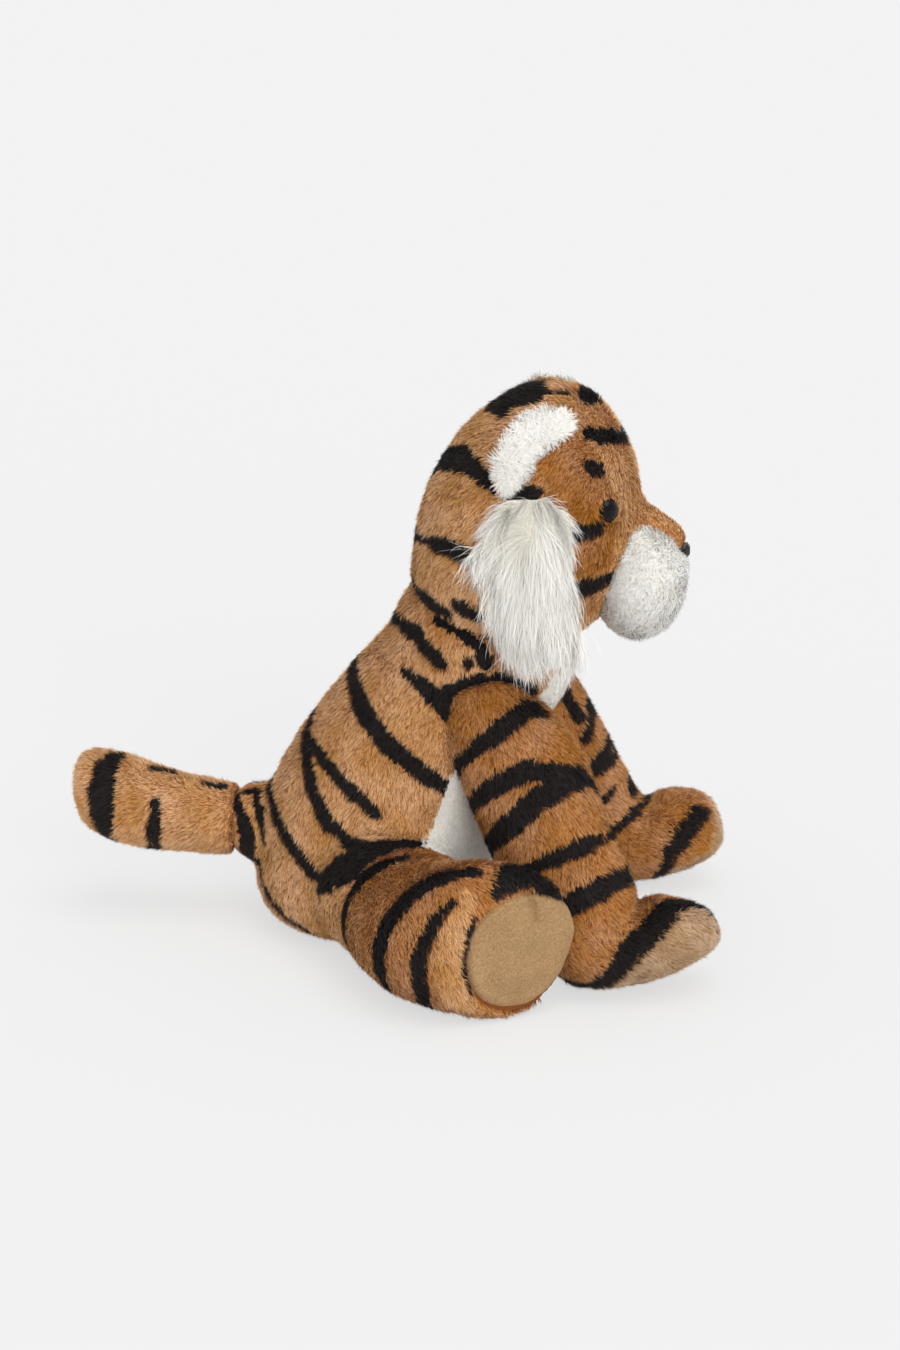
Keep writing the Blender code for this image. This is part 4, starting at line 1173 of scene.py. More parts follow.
@dataclass
class StuffedPart:
    """A stuffed part under a pile skin, made from the CAD solids of one body."""

    name: str = ""
    body: str = ""
    shells: tuple[str, ...] = ()
    fillings: tuple[str, ...] = ()
    # The shell with its own coat, its share of the pile's length and how far its coat spreads past it.
    panel: str = ""
    panel_coat: Coat = Coat.WHITE
    panel_room: float = 1.0
    panel_spread_mm: float = 0.0
    coat: Coat = Coat.BROWN
    slot: str = "brown_plush"
    panel_slot: str = "white_plush"
    voxel_mm: float = 2.5
    draw_in_mm: float = 1.9
    ease_mm: float = 9.0
    smoothing: int = 6
    lump_mm: float = 0.7
    fill: float = 0.8
    pile: Pile = field(default_factory=Pile)
    # The pile lies this way, and by nap_out away from the middle plane.
    nap: tuple[float, float, float] = (-0.25, 0.0, -1.0)
    nap_out: float = 0.0
    strokes: tuple[Stroke, ...] = ()
    strokes_beside: tuple[Stroke, ...] = ()
    # Patches of a second coat, under which the pile may be longer by a share.
    patches: tuple[Stroke, ...] = ()
    patch_coat: Coat = Coat.BROWN
    patch_growth: float = 0.0
    mirror: bool = False
    both_sides: bool = True
    joins: tuple[str, ...] = ()
    trims: tuple[tuple[Vector, float, float], ...] = ()
    seed: int = 1

    # The large and small lumps, and the share of them that stays at a seam.
    LUMPS_MM = (26, 11)
    SEAM_SHARE = 0.12
    # The pile's share of its length at a seam, how far from it the pile is full, and its least share.
    SEAM_ROOM = 0.42
    FULL_FROM = 7 * MM
    LEAST_ROOM = 0.3
    # The share of a gap to another part that the pile may fill.
    GAP_SHARE = 0.6
    # How far the print's edge is ragged: for each size of noise its depth, and how far it is drawn in.
    RAGGED_MM = ((2.2, 0.8), (0.7, 0.9))
    PRINT_INSET = 0.45 * MM

    def comb(self, points: np.ndarray, normals: np.ndarray) -> np.ndarray:
        """The direction in which the pile lies.

        Args:
            points: Places on the skin.
            normals: Unit normals there; not used.

        Returns:
            One direction for each place, not yet laid flat.
        """
        way = np.tile(np.array(self.nap), (len(points), 1))
        way[:, 1] += self.nap_out * np.sign(points[:, 1])
        return way

    def reshape(self, places: np.ndarray, normals: np.ndarray) -> np.ndarray:
        """Returns the skin's vertices, moved where the cloth swells or is drawn in; here none is."""
        return places

    def sew(self) -> None:
        """Makes the skin from the outside of the CAD solids, smooth and drawn in by the pile's depth."""
        shape = bmesh.new()
        for node in self.shells + self.fillings:
            shape.from_mesh(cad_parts[node].data)
        rough = mesh_object(f"{self.name}_rough", mesh_of(shape, f"{self.name}_rough"))
        knit = rough.modifiers.new("knit", "REMESH")
        knit.mode = "VOXEL"
        knit.voxel_size = self.voxel_mm * MM
        even = rough.modifiers.new("even", "SMOOTH")
        even.factor = 0.5
        even.iterations = self.smoothing
        ready = bpy.data.meshes.new_from_object(rough.evaluated_get(bpy.context.evaluated_depsgraph_get()))
        bpy.data.objects.remove(rough)
        places, normals, _ = arrays_of(ready)
        self.beyond = np.full(len(places), FAR)
        for node in self.joins:
            self.beyond = np.minimum(self.beyond, distances(tree_of_node(node), places))
        free = np.clip((self.beyond - 1 * MM) / (self.ease_mm * MM), 0, 1)
        large, small = (soft_noise(places, s * MM, self.seed + 40 + k) for k, s in enumerate(self.LUMPS_MM))
        shift = (large + 0.5 * small) * self.lump_mm - self.draw_in_mm
        share = self.SEAM_SHARE + (1 - self.SEAM_SHARE) * free
        places += normals * (shift * MM * share)[:, None]
        places = self.reshape(places, normals)
        places[:, 2] = np.maximum(places[:, 2], SKIN_CLEARANCE)
        ready.vertices.foreach_set("co", places.astype(np.float32).ravel())
        ready.update()
        ready.shade_smooth()
        self.skin = mesh_object(f"{self.name}_ground", ready)
        self.places, self.normals, self.triangles = arrays_of(ready)
        self.tree = BVHTree.FromPolygons(self.places.tolist(), self.triangles.tolist())

    def measure(self, others: list["StuffedPart"]) -> None:
        """Finds which vertices belong to the panel, and the room that the pile has.

        Args:
            others: The parts on other bodies that stand next to this one.
        """
        count = len(self.places)
        self.beside = np.full(count, -FAR)
        if self.panel:
            plain = [n for n in self.shells if n != self.panel]
            to_panel = distances(tree_of_node(self.panel), self.places)
            to_plain = np.min([distances(tree_of_node(n), self.places) for n in plain], axis=0)
            self.beside = to_plain - to_panel
        self.room = self.SEAM_ROOM + (1 - self.SEAM_ROOM) * np.clip(self.beyond / self.FULL_FROM, 0, 1)
        full = self.pile.length_mm * MM
        for other in others:
            for k in range(count):
                hit = other.tree.ray_cast(Vector(self.places[k]), Vector(self.normals[k]), full)
                if hit[0] is not None:
                    gap = self.GAP_SHARE * hit[3] / full
                    self.room[k] = min(self.room[k], max(self.LEAST_ROOM, gap))
        for centre, radius, share in self.trims:
            off = np.linalg.norm(self.places - np.array(centre), axis=1)
            t = np.clip((off - radius * 0.6) / (radius * 0.8), 0, 1)
            self.room *= share + (1 - share) * t
        self.room = np.where(self.beside > 0, self.panel_room * self.room, self.room)

    def coats_at(self, points: np.ndarray, beside: np.ndarray) -> np.ndarray:
        """Names the coat at places on the skin.

        Args:
            points: The places.
            beside: How much nearer each is to the panel than to the rest, in metres.

        Returns:
            Numbers into the list of coats.
        """
        plain, black, patch, panel = (
            list(Coat).index(coat) for coat in (self.coat, Coat.BLACK, self.patch_coat, self.panel_coat)
        )
        found = np.full(len(points), plain)
        edge = np.full(len(points), -self.PRINT_INSET)
        for k, (size, deep) in enumerate(self.RAGGED_MM):
            edge += soft_noise(points, size * MM, self.seed + 50 + k) * deep * MM
        both = self.both_sides and not self.mirror
        found[self.brush.depth(points, both) + edge < 0] = black
        found[self.inner_brush.depth(points, False) + edge < 0] = black
        found[(self.patch_brush.depth(points, both) + 3 * edge < 0) & (found == plain)] = patch
        if self.panel and self.panel_spread_mm:
            found[(beside + 2 * edge > -self.panel_spread_mm * MM) & (found != black)] = panel
        found[beside > 0] = panel
        return found

    def paint(self) -> None:
        """Lays the strokes and gives each face of the skin its ground cloth."""
        self.brush = Brushwork(self.tree, self.strokes, self.mirror, self.both_sides)
        self.inner_brush = Brushwork(self.tree, self.strokes_beside, not self.mirror, False)
        self.patch_brush = Brushwork(self.tree, self.patches, self.mirror, False)
        inside = -self.patch_brush.depth(self.places, False)
        self.room *= 1 + self.patch_growth * np.clip(inside / (3 * MM), 0, 1)
        mesh = self.skin.data
        for coat in Coat:
            mesh.materials.append(BACKINGS[coat].material())
        first = np.zeros(len(mesh.polygons), np.int32)
        mesh.polygons.foreach_get("loop_start", first)
        corners = np.zeros(len(mesh.loops), np.int32)
        mesh.loops.foreach_get("vertex_index", corners)
        coats = self.coats_at(self.places, self.beside)
        mesh.polygons.foreach_set("material_index", coats[corners[first]].astype(np.int32))
        mesh.update()

    def bare(self, points: np.ndarray) -> np.ndarray:
        """Says at which places on the skin no pile grows."""
        return np.zeros(len(points), bool)

    def grow(self) -> list[bpy.types.Object]:
        """Grows the pile over the skin.

        Returns:
            The pieces of pile, one or more for each coat.
        """
        rng = np.random.default_rng(self.seed)
        a, b, c = (self.places[self.triangles[:, k]] for k in range(3))
        area = np.linalg.norm(np.cross(b - a, c - a), axis=1) / 2
        count = round(area.sum() / MM**2 * self.pile.per_mm2)
        chosen = rng.choice(len(area), count, p=area / area.sum())
        u, v = rng.uniform(size=(2, count))
        flip = u + v > 1
        u[flip], v[flip] = 1 - u[flip], 1 - v[flip]
        weights = np.stack([1 - u - v, u, v], axis=1)
        picked = self.triangles[chosen]
        roots = np.einsum("ij,ijk->ik", weights, self.places[picked])
        keep = ~self.bare(roots)
        roots, weights, picked = roots[keep], weights[keep], picked[keep]
        normals = unit(np.einsum("ij,ijk->ik", weights, self.normals[picked]))
        beside = np.einsum("ij,ij->i", weights, self.beside[picked])
        reach = np.einsum("ij,ij->i", weights, self.room[picked])
        coats = self.coats_at(roots, beside)
        grown = self.pile.fibres(Roots(roots, normals, self.comb(roots, normals), reach, self.seed + 60))
        middle = (roots.min(0) + roots.max(0)) / 2
        turn = np.arctan2(roots[:, 1] - middle[1], roots[:, 0] - middle[0]) / (2 * math.pi) + 0.5
        chart = np.stack([0.01 + 0.97 * turn, 0.01 + 0.97 * share_of(roots[:, 2])], axis=1)
        made = []
        most = FACES_PER_PIECE // (2 * self.pile.segments - 1)
        for number, coat in enumerate(Coat):
            mine = np.flatnonzero(coats == number)
            for part, start in enumerate(range(0, len(mine), most)):
                some = mine[start : start + most]
                name = f"{self.name}_pile_{coat.value}_{part + 1}"
                mesh = fibre_mesh(name, *(values[some] for values in (*grown, chart)))
                mesh.materials.append(PILE_FINISHES[coat].material())
                piece = mesh_object(name, mesh)
                made.append(piece)
        return made

    def dress(self) -> None:
        """Paints the skin, grows the pile and puts all of it on the body."""
        self.paint()
        pile = self.grow()
        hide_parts(*self.shells, *self.fillings)
        for piece in [self.skin, *pile]:
            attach(piece, self.body)
        fibres = sum(len(piece.data.polygons) for piece in pile)
        faces = len(self.skin.data.polygons)
        log.info("%s: %d skin faces, %d pile faces in %d pieces", self.name, faces, fibres, len(pile))


@dataclass
class PairedPart(StuffedPart):
    """A stuffed part that the tiger has on each side; the names of its solids here leave the side off."""

    side: Side = Side.RIGHT
    both_sides: bool = False

    def __post_init__(self) -> None:
        """Names the part's solids for its side."""
        word = self.side.word
        self.name = f"{self.name}_{word}"
        self.body = self.body or self.name
        self.shells = tuple(f"{node}_{word}" for node in self.shells)
        self.fillings = tuple(f"{node}_{word}" for node in self.fillings)
        self.panel = self.panel and f"{self.panel}_{word}"
        self.mirror = self.side is Side.LEFT
        self.seed += self.side.value


# Sub-assemblies


@dataclass
class Torso(StuffedPart):
    """The pear-shaped seated torso with its white bib and belly, which are cut shorter."""

    name: str = "torso"
    body: str = "torso"
    shells: tuple[str, ...] = ("torso_skin", "belly_panel")
    fillings: tuple[str, ...] = ("torso_stuffing", "pellet_bag")
    panel: str = "belly_panel"
    panel_room: float = 0.65
    joins: tuple[str, ...] = (
        "head_skin",
        "tail_skin",
        "front_leg_skin_left",
        "front_leg_skin_right",
        "hind_leg_skin_left",
        "hind_leg_skin_right",
    )
    nap_out: float = 0.35
    strokes: tuple[Stroke, ...] = TORSO_STROKES
    patches: tuple[Stroke, ...] = THROAT
    patch_coat: Coat = Coat.WHITE
    fill: float = 0.7
    seed: int = 11


@dataclass
class Head(StuffedPart):
    """The egg-shaped head, with the bridge of the nose sewn on in the same pile."""

    name: str = "head"
    body: str = "head"
    shells: tuple[str, ...] = ("head_skin", "nose_bridge")
    fillings: tuple[str, ...] = ("head_stuffing", "eye_washer_left", "eye_washer_right")
    joins: tuple[str, ...] = (
        "torso_skin",
        "muzzle_skin",
        "ear_back_left",
        "ear_back_right",
        "ear_lining_left",
        "ear_lining_right",
    )
    nap: tuple[float, float, float] = (-0.6, 0.0, -0.8)
    nap_out: float = 0.25
    strokes: tuple[Stroke, ...] = HEAD_STROKES
    # The sides of the face take the brown with painted shade.
    patches: tuple[Stroke, ...] = HEAD_PAINTED_SHADE
    patch_coat: Coat = Coat.RUST
    fill: float = 0.85
    seed: int = 21
    # How strongly the pile lies back over the crown, up the bridge of the nose and in towards each eye.
    crown: float = 0.5
    bridge: float = 1.3
    eye: float = 1.6
    # The swelling round each eye.
    ring_radius_mm: float = 8.0
    ring_width_mm: float = 2.8
    ring_height_mm: float = 3.6

    def comb(self, points: np.ndarray, normals: np.ndarray) -> np.ndarray:
        """Back and down from the face, straight back over the crown, and in towards each eye.

        Args:
            points: Places on the skin.
            normals: Unit normals there; not used.

        Returns:
            One direction for each place, not yet laid flat.
        """
        way = super().comb(points, normals)
        way[:, 0] -= self.crown * np.clip(share_of(points[:, 2]) * 2 - 1, 0, 1)
        bridge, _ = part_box("nose_bridge")
        along = np.clip((points[:, 0] - bridge.x) / (8 * MM), 0, 1) * (points[:, 2] > bridge.z)
        way[:, 2] += self.bridge * along
        for side in Side:
            off = eye_middle(side) - points
            near = np.clip(2 - np.linalg.norm(off, axis=1, keepdims=True) / (6 * MM), 0, 1)
            way += self.eye * near * unit(off)
        return way

    def reshape(self, places: np.ndarray, normals: np.ndarray) -> np.ndarray:
        """Swells the cloth round each eye, most on the side of the nose, where the eye pulls it in.

        Args:
            places: The skin's vertices.
            normals: Unit normals there.

        Returns:
            The vertices, moved.
        """
        for side in Side:
            off = places - eye_middle(side)
            from_ring = np.linalg.norm(off, axis=1) - self.ring_radius_mm * MM
            ring = np.exp(-((from_ring / (self.ring_width_mm * MM)) ** 2))
            ahead = np.clip(0.6 + off[:, 0] / (8 * MM), 0.4, 1.6)
            places = places + normals * (self.ring_height_mm * MM * ring * ahead)[:, None]
        return places


@dataclass
class Muzzle(StuffedPart):
    """The round, close and curly muzzle."""

    name: str = "muzzle"
    body: str = "head"
    shells: tuple[str, ...] = ("muzzle_skin",)
    fillings: tuple[str, ...] = ("muzzle_stuffing",)
    coat: Coat = Coat.WHITE
    slot: str = "white_plush"
    voxel_mm: float = 2.0
    draw_in_mm: float = 0.3
    pile: Pile = field(
        default_factory=lambda: Pile(5.2, 5.0, 0.28, 0.84, 0.42, 2.6, 0.38, 4, 1.0, 0.55, 0.8)
    )
    seed: int = 31
    spread_back: float = 1.08
    # The wide swirls and small curls that the pile lies in, and how strong each is.
    swirl_mm: float = 9.0
    swirl: float = 0.8
    curl_mm: float = 3.6
    curl: float = 1.2

    def reshape(self, places: np.ndarray, normals: np.ndarray) -> np.ndarray:
        """Spreads the muzzle back over the cheeks.

        Args:
            places: The skin's vertices.
            normals: Unit normals there; not used.

        Returns:
            The vertices, moved.
        """
        front = places[:, 0].max()
        places[:, 0] = front + self.spread_back * (places[:, 0] - front)
        return places

    def comb(self, points: np.ndarray, normals: np.ndarray) -> np.ndarray:
        """Out and down from the nose, in swirls and small curls.

        Args:
            points: Places on the skin.
            normals: Unit normals there; not used.

        Returns:
            One direction for each place, not yet laid flat.
        """
        high = points.max(0)
        nose = np.array([high[0], 0.0, high[2]])
        swirls = threefold(soft_noise, points, self.swirl_mm * MM, seed=self.seed + 30)
        curls = threefold(soft_noise, points, self.curl_mm * MM, seed=self.seed + 33)
        down = np.array([0.0, 0.0, -0.1])
        return unit(points - nose) + down + self.swirl * swirls + self.curl * curls


@dataclass
class Ear(PairedPart):
    """A round ear: short brown pile at the back and longer white pile in its lining."""

    name: str = "ear"
    shells: tuple[str, ...] = ("ear_back", "ear_lining")
    panel: str = "ear_lining"
    joins: tuple[str, ...] = ("head_skin",)
    voxel_mm: float = 1.5
    draw_in_mm: float = 1.0
    smoothing: int = 4
    lump_mm: float = 0.3
    pile: Pile = field(default_factory=lambda: Pile(7.4, 4.2, 0.30, 0.84, 0.30, 2.6, 0.4, 3, 0.92))
    fill: float = 0.2
    seed: int = 51
    # The least share of the pile's length in the lining, and the back's share of what it has room for.
    lining_room: float = 0.9
    back_room: float = 0.34

    def measure(self, others: list[StuffedPart]) -> None:
        """Finds the pile's room; the lining's is full to its ends and the back's is short."""
        super().measure(others)
        self.room = np.where(
            self.beside > 0, np.maximum(self.room, self.lining_room), self.back_room * self.room
        )

    def comb(self, points: np.ndarray, normals: np.ndarray) -> np.ndarray:
        """Up and out from the ear's root."""
        low, high = points.min(0), points.max(0)
        return points - np.array([(low[0] + high[0]) / 2, (low if self.mirror else high)[1], low[2]])


@dataclass
class FrontLeg(PairedPart):
    """A front leg with its forward paw and its sand-coloured underside."""

    name: str = "front_leg"
    shells: tuple[str, ...] = ("front_leg_skin", "front_sole")
    fillings: tuple[str, ...] = ("front_leg_stuffing",)
    panel: str = "front_sole"
    joins: tuple[str, ...] = ("torso_skin",)
    # The leg wears the brown with painted shade, darker than the body's.
    coat: Coat = Coat.RUST
    panel_coat: Coat = Coat.TAN
    panel_spread_mm: float = 9.0
    panel_slot: str = "sand_plush"
    strokes: tuple[Stroke, ...] = FRONT_LEG_STROKES
    strokes_beside: tuple[Stroke, ...] = INNER_LEG_STROKES
    fill: float = 0.75
    seed: int = 61
    ankle_z: float = 0.040
    swell_mm: float = 7.5
    # The swelling starts above the paw and ends below the shoulder and before the paw's toes.
    swell_low: float = 0.020
    swell_high: float = 0.138
    swell_front: float = 0.158

    def __post_init__(self) -> None:
        """Names the leg's solids, and gives the near and the far paw what the picture shows of each."""
        super().__post_init__()
        if self.mirror:
            self.panel_spread_mm, self.swell_mm = 3.0, 1.5
        else:
            self.strokes += TOE_STROKES
            self.strokes_beside = self.strokes_beside[:-2]

    def reshape(self, places: np.ndarray, normals: np.ndarray) -> np.ndarray:
        """Lets the stuffing push the leg's front out, between the paw and the shoulder.

        Args:
            places: The skin's vertices.
            normals: Unit normals there.

        Returns:
            The vertices, moved.
        """
        x, z = places[:, 0], places[:, 2]
        rise = np.clip((z - self.swell_low) / 0.020, 0, 1) * np.clip((self.swell_high - z) / 0.030, 0, 1)
        ahead = np.clip(normals @ np.array([0.95, 0.0, 0.3]), 0, 1)
        ahead *= np.clip((self.swell_front - x) / 0.020, 0, 1)
        return places + normals * (self.swell_mm * MM * rise**0.7 * ahead)[:, None]

    def comb(self, points: np.ndarray, normals: np.ndarray) -> np.ndarray:
        """Down the leg, then forward along the paw.

        Args:
            points: Places on the skin.
            normals: Unit normals there; not used.

        Returns:
            One direction for each place, not yet laid flat.
        """
        down = np.array([0.35, 0.2 * self.side.value, -0.9])
        forward = np.array([0.9, 0.0, -0.45])
        t = np.clip((points[:, 2] - self.ankle_z * 0.6) / (self.ankle_z * 0.9), 0, 1)[:, None]
        return down * t + forward * (1 - t)


@dataclass
class HindLeg(PairedPart):
    """A hind leg that comes round the front leg to a suede sole."""

    name: str = "hind_leg"
    shells: tuple[str, ...] = ("hind_leg_skin", "hind_sole")
    fillings: tuple[str, ...] = ("hind_leg_stuffing",)
    joins: tuple[str, ...] = ("torso_skin",)
    # The leg wears the brown with painted shade, darker than the body's.
    coat: Coat = Coat.RUST
    panel_slot: str = "brown_plush"
    nap: tuple[float, float, float] = (0.5, 0.0, -0.7)
    nap_out: float = 0.5
    strokes: tuple[Stroke, ...] = HIND_LEG_STROKES
    patches: tuple[Stroke, ...] = HIND_LEG_PALE
    patch_growth: float = 0.35
    fill: float = 0.75
    seed: int = 71
    # The foot's swelling: its height, and where it starts above the sole's middle and behind its face.
    swell_mm: float = 3.2
    swell_up_mm: float = 6.0
    swell_back_mm: float = 34.0

    def __post_init__(self) -> None:
        """Names the leg's solids for its side and takes up its sole."""
        super().__post_init__()
        self.sole = HindSole(self.side)

    def reshape(self, places: np.ndarray, normals: np.ndarray) -> np.ndarray:
        """Swells the foot above its sole, and presses the skin in under it.

        Args:
            places: The skin's vertices.
            normals: Unit normals there.

        Returns:
            The vertices, moved.
        """
        _, up, out = self.sole.flat(places)
        swell = np.clip((up - self.swell_up_mm * MM) / (16 * MM), 0, 1)
        swell *= np.clip((out + self.swell_back_mm * MM) / (14 * MM), 0, 1)
        round_side = 1 - np.clip(normals @ self.sole.out, 0, 1)
        return self.sole.press(places + normals * (self.swell_mm * MM * swell * round_side)[:, None])

    def bare(self, points: np.ndarray) -> np.ndarray:
        """The suede sole carries no pile."""
        return self.sole.covers(points)

    def dress(self) -> None:
        """Dresses the leg and lays the suede on its foot."""
        super().dress()
        self.sole.build(self.tree)


@dataclass
class Tail(StuffedPart):
    """The thick tail, fuller at its tip."""

    name: str = "tail"
    body: str = "tail"
    shells: tuple[str, ...] = ("tail_skin",)
    fillings: tuple[str, ...] = ("tail_stuffing",)
    joins: tuple[str, ...] = ("torso_skin",)
    nap: tuple[float, float, float] = (-0.8, 0.0, -0.45)
    strokes: tuple[Stroke, ...] = TAIL_STROKES
    both_sides: bool = False
    seed: int = 81


@dataclass
class CheekTuft(PairedPart):
    """A cheek's long white hair, hanging in loose locks from below the ear."""

    name: str = "cheek_tuft"
    body: str = "head"
    shells: tuple[str, ...] = ("cheek_tuft",)
    coat: Coat = Coat.CREAM
    slot: str = "long_white_plush"
    draw_in_mm: float = 5.0
    lump_mm: float = 1.0
    pile: Pile = field(
        default_factory=lambda: LongPile(27.0, 4.0, 0.24, stray=0.16, clump_mm=4.4, clump=0.6, segments=6)
    )
    fill: float = 0.3
    seed: int = 91
    # The lowest part that stays bare.
    bare_mm: float = 12.0
    # At the top the locks are swept back and stand up, and part in wisps of this size.
    sweep: float = 1.5
    rise: float = 1.35
    wisp_mm: float = 5.0
    wisps: float = 1.1

    def comb(self, points: np.ndarray, normals: np.ndarray) -> np.ndarray:
        """Straight down, and swept back and apart in wisps at the top.

        Args:
            points: Places on the skin.
            normals: Unit normals there; not used.

        Returns:
            One direction for each place, not yet laid flat.
        """
        t = share_of(points[:, 2])
        top = np.clip(t * 2.4 - 1.4, 0, 1)
        across = share_of(points[:, 0]) * 2 - 1
        back = across < 0.1
        way = np.tile(np.array([0.02, 0.0, -1.0]), (len(points), 1))
        way[:, 0] += (0.28 - 0.22 * t) * across + top * np.where(back, -self.sweep, 0.4 + 0.4 * across)
        way[:, 2] += top * np.where(back, self.rise, 1.1)
        wisps = threefold(soft_noise, points, self.wisp_mm * MM, seed=self.seed + 20)
        return way + self.wisps * top[:, None] * wisps

    def reshape(self, places: np.ndarray, normals: np.ndarray) -> np.ndarray:
        """Makes the ground narrower than the hair that covers it, most in front and above.

        Args:
            places: The skin's vertices.
            normals: Unit normals there; not used.

        Returns:
            The vertices, moved.
        """
        middle = (places[:, 0].min() + places[:, 0].max()) / 2
        below = 1 - share_of(places[:, 2])
        share = np.where(places[:, 0] < middle, 0.97, 0.78 + 0.20 * below)
        places[:, 0] = middle + share * (places[:, 0] - middle)
        return places

    def measure(self, others: list[StuffedPart]) -> None:
        """Finds the pile's room, and keeps it short over the tuft's top and at its front edge.

        Args:
            others: The parts on other bodies that stand next to this one.
        """
        super().measure(others)
        high = self.places[:, 2].max()
        self.room *= 0.70 + 0.30 * np.clip((high - self.places[:, 2]) / (22 * MM), 0, 1)
        across = share_of(self.places[:, 0]) * 2 - 1
        above = np.clip(share_of(self.places[:, 2]) * 2 - 0.4, 0, 1)
        self.room *= 1 - 0.35 * above * np.clip(across * 1.6 - 0.6, 0, 1)

    def bare(self, points: np.ndarray) -> np.ndarray:
        """The lowest part is covered by the locks that hang past it."""
        return points[:, 2] < self.places[:, 2].min() + self.bare_mm * MM


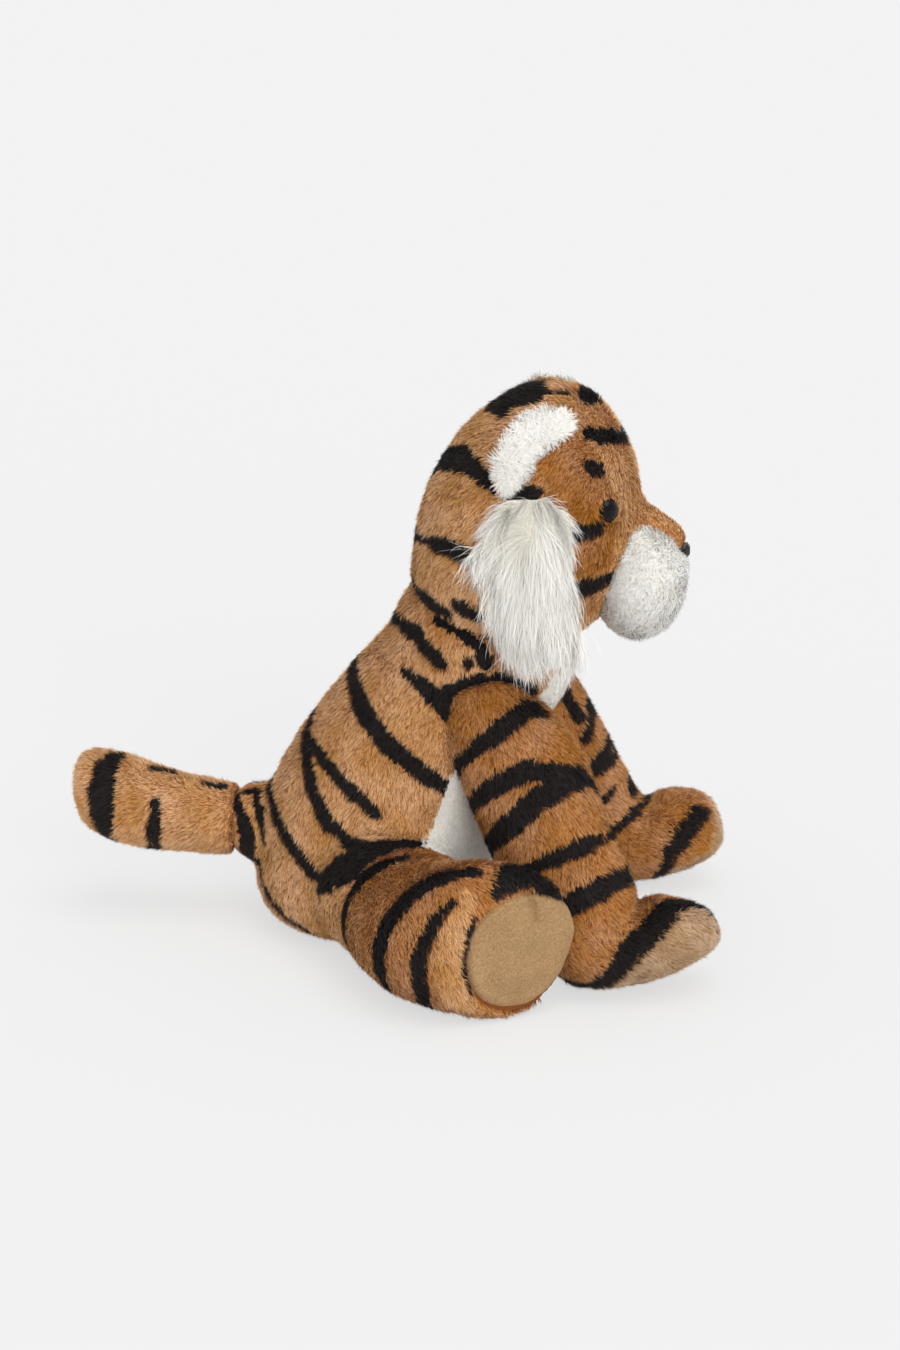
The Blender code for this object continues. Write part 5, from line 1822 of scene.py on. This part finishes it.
@dataclass
class HindSole:
    """The uneven oval of suede on a hind foot, stitched in and drawn to a pucker near its top."""

    side: Side
    # The outline, as degrees round from the sole's outer end and millimetres from its middle.
    degrees: tuple[float, ...] = (
        *(0, 14, 27, 43, 64, 85, 106, 129, 150),
        *(184, 207, 229, 250, 275, 298, 318, 343, 360),
    )
    radii_mm: tuple[float, ...] = (
        *(33.0, 34.0, 32.8, 30.0, 27.6, 26.2, 25.4, 25.2, 25.6),
        *(26.0, 27.9, 30.4, 31.6, 32.6, 33.0, 31.8, 31.6, 33.0),
    )
    turn_deg: float = 58.0
    rings: int = 26
    spokes: int = 120
    crown_mm: float = 1.8
    raise_mm: float = 0.8
    thick_mm: float = 0.9
    # The edge is tucked under within this share of the radius.
    tuck_mm: float = 4.0
    tuck_share: float = 0.06
    # The leg's skin is pressed in under the sole, from this share of the radius inwards.
    press_mm: float = 3.0
    press_share: float = 0.12
    # The pucker runs from the first place to the second, across and up from the sole's middle.
    pucker_mm: tuple[float, float, float, float] = (7.0, 26.5, 10.2, 5.0)
    pucker_depth_mm: float = 3.4
    pucker_width_mm: float = 1.9
    # The search for the leg's skin starts this far outside the sole.
    probe_mm: float = 20.0
    pleat_mm: float = 0.35

    def __post_init__(self) -> None:
        """Finds the middle and the axes of the sole on its CAD solid."""
        turn = math.radians(self.turn_deg)
        side = self.side.value
        self.out = np.array([math.cos(turn), side * math.sin(turn), 0.0])
        self.along = np.array([math.sin(turn), -side * math.cos(turn), 0.0])
        places, _, _ = arrays_of(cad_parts[f"hind_sole_{self.side.word}"].data)
        reach, height = places @ self.along, places[:, 2]
        self.middle = self.along * (reach.min() + reach.max()) / 2 + self.out * (places @ self.out).max()
        self.middle = self.middle + np.array([0, 0, (height.min() + height.max()) / 2])

    def radius(self, angle: np.ndarray) -> np.ndarray:
        """The outline's distance from the middle, in metres, at angles in radians."""
        return np.interp(np.degrees(angle) % 360, self.degrees, self.radii_mm) * MM

    def flat(self, points: np.ndarray) -> tuple[np.ndarray, np.ndarray, np.ndarray]:
        """Gives points their places along, up and out of the sole, in metres."""
        off = points - self.middle
        return off @ self.along, off[:, 2], off @ self.out

    def covers(self, points: np.ndarray) -> np.ndarray:
        """Says which places on the leg lie under the sole.

        Args:
            points: The places.

        Returns:
            True where the sole covers one.
        """
        across, up, out = self.flat(points)
        inside = np.hypot(across, up) < self.radius(np.arctan2(up, across)) + 0.3 * MM
        return inside & (out > -16 * MM)

    def press(self, places: np.ndarray) -> np.ndarray:
        """Presses the leg's skin in under the sole.

        Args:
            places: The skin's vertices.

        Returns:
            The vertices, moved.
        """
        across, up, out = self.flat(places)
        share = np.hypot(across, up) / self.radius(np.arctan2(up, across))
        inside = np.clip((1 - share) / self.press_share, 0, 1) * (out > -14 * MM)
        return places - (self.press_mm * MM * inside)[:, None] * self.out

    def build(self, leg: BVHTree) -> None:
        """Lays the suede on the end of the foot.

        Args:
            leg: The leg's skin, which carries it.
        """
        angle = np.linspace(0, 2 * math.pi, self.spokes, endpoint=False)
        smooth = sum(np.roll(self.radius(angle), k) for k in range(-4, 5)) / 9
        shares = np.linspace(0, 1, self.rings)[:, None]
        across = shares * smooth * np.cos(angle)
        up = shares * smooth * np.sin(angle)
        probe = self.probe_mm * MM
        flat = self.middle + across[..., None] * self.along + up[..., None] * np.array([0, 0, 1.0])
        depth = np.zeros(across.shape)
        for ring in range(self.rings):
            for spoke in range(self.spokes):
                start = Vector(flat[ring, spoke] + self.out * probe)
                hit = leg.ray_cast(start, Vector(-self.out), 0.05)
                depth[ring, spoke] = -probe / 2 if hit[0] is None else probe - hit[3]
        for _ in range(6):
            round_about = (np.roll(depth, 1, 1) + np.roll(depth, -1, 1) + 2 * depth) / 4
            ends = np.concatenate([round_about[:1], round_about, round_about[-1:]])
            depth = (ends[:-2] + ends[2:] + 2 * round_about) / 4
        depth[0] = depth[0].mean()
        pressed = self.press_mm * np.clip((1 - shares) / self.press_share, 0, 1)
        depth = np.maximum(depth, -(1.2 + 2.2 * shares**4 + pressed) * MM)
        rise = self.raise_mm + self.crown_mm * (1 - shares**2) * np.ones(self.spokes) + pressed
        rise -= self.tuck_mm * np.clip((shares - 1 + self.tuck_share) / self.tuck_share, 0, 1) ** 1.5
        x1, y1, x2, y2 = self.pucker_mm
        line = np.array([x2 - x1, y2 - y1])
        t = np.clip(((across / MM - x1) * line[0] + (up / MM - y1) * line[1]) / (line @ line), 0, 1)
        off = np.hypot(across / MM - x1 - t * line[0], up / MM - y1 - t * line[1])
        wide, lip = self.pucker_width_mm, 0.5 * self.pucker_depth_mm * (1 - t)
        rise -= self.pucker_depth_mm * (0.3 + 3.0 * t) * (1 - t) * np.exp(-((off / wide) ** 2))
        rise += lip * np.exp(-(((off - 3.6) / wide) ** 2))
        pleats = np.sin(9 * angle + 1.3) + 0.6 * np.sin(17 * angle)
        rise += self.pleat_mm * pleats * shares**3
        places = flat + (depth + rise * MM)[..., None] * self.out
        shape = bmesh.new()
        middle = shape.verts.new(places[0].mean(0))
        rows = [[shape.verts.new(p) for p in row] for row in places[1:]]
        for k in range(self.spokes):
            after = (k + 1) % self.spokes
            shape.faces.new((middle, rows[0][k], rows[0][after]))
            for inner, outer in zip(rows, rows[1:]):
                shape.faces.new((inner[k], outer[k], outer[after], inner[after]))
        bmesh.ops.recalc_face_normals(shape, faces=shape.faces)
        if Vector(self.out).dot(shape.faces[0].normal) < 0:
            bmesh.ops.reverse_faces(shape, faces=shape.faces)
        bmesh.ops.solidify(shape, geom=shape.faces, thickness=self.thick_mm * MM)
        # The rim's faces come in another order on each run. Sorted by their corners, they don't.
        shape.verts.index_update()
        most = len(shape.verts)
        shape.faces.sort(
            key=lambda face: sum(n * most**k for k, n in enumerate(sorted(v.index for v in face.verts)))
        )
        name = f"hind_foot_suede_{self.side.word}"
        mesh = mesh_of(shape, name)
        mesh.materials.append(SUEDE.material())
        mesh.shade_smooth()
        piece = mesh_object(name, mesh)
        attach(piece, f"hind_leg_{self.side.word}")
        log.info("%s: %d faces", piece.name, len(mesh.polygons))


@dataclass
class Face:
    """The hard pieces of the face, each with its finish."""

    finishes: tuple[tuple[str, HardFinish], ...] = (
        ("eye_left", EYE_PLASTIC),
        ("eye_right", EYE_PLASTIC),
        ("nose", NOSE_VELVET),
    )

    def dress(self) -> None:
        """Gives the CAD eyes and nose their finishes."""
        for node, finish in self.finishes:
            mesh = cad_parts[node].data
            mesh.materials.clear()
            mesh.materials.append(finish.material())
            mesh.shade_smooth()
            log.info("%s: finished as %s", node, finish.name)


# The depth of an eye's dome that counts as its middle.
DOME = 2.5 * MM


def eye_middle(side: Side) -> np.ndarray:
    """Finds the middle of an eye's dome, the mean of its points that lie farthest from its washer.

    Args:
        side: The eye's side.

    Returns:
        The place, in metres.
    """
    places, _, _ = arrays_of(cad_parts[f"eye_{side.word}"].data)
    low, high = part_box(f"eye_washer_{side.word}")
    away = np.linalg.norm(places - np.array((low + high) / 2), axis=1)
    return places[away > away.max() - DOME].mean(0)


def face_trims() -> tuple[tuple[Vector, float, float], ...]:
    """Where the pile stands fuller round the eyes and is cut short along the bridge of the nose.

    Returns:
        For each place, its middle, its radius and its share of the pile's length.
    """
    low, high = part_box("nose_bridge")
    tip = (Vector((high.x, 0.0, (low.z + high.z) / 2)), 24 * MM, 0.55)
    return (*((Vector(eye_middle(side)), 9.0 * MM, 1.35) for side in Side), tip)


def main() -> None:
    """Builds the studio and the tiger, part by part."""
    STUDIO.set_camera()
    STUDIO.lay_floor()
    STUDIO.light()
    parts: list[StuffedPart] = [Torso(), Head(trims=face_trims()), Muzzle(), Tail()]
    for side in Side:
        parts += [Ear(side=side), CheekTuft(side=side), FrontLeg(side=side), HindLeg(side=side)]
    for part in parts:
        part.sew()
        log.info("%s: sewn", part.name)
    for part in parts:
        part.measure([other for other in parts if other.body != part.body])
        part.dress()
    Face().dress()


if __name__ == "__main__":
    main()
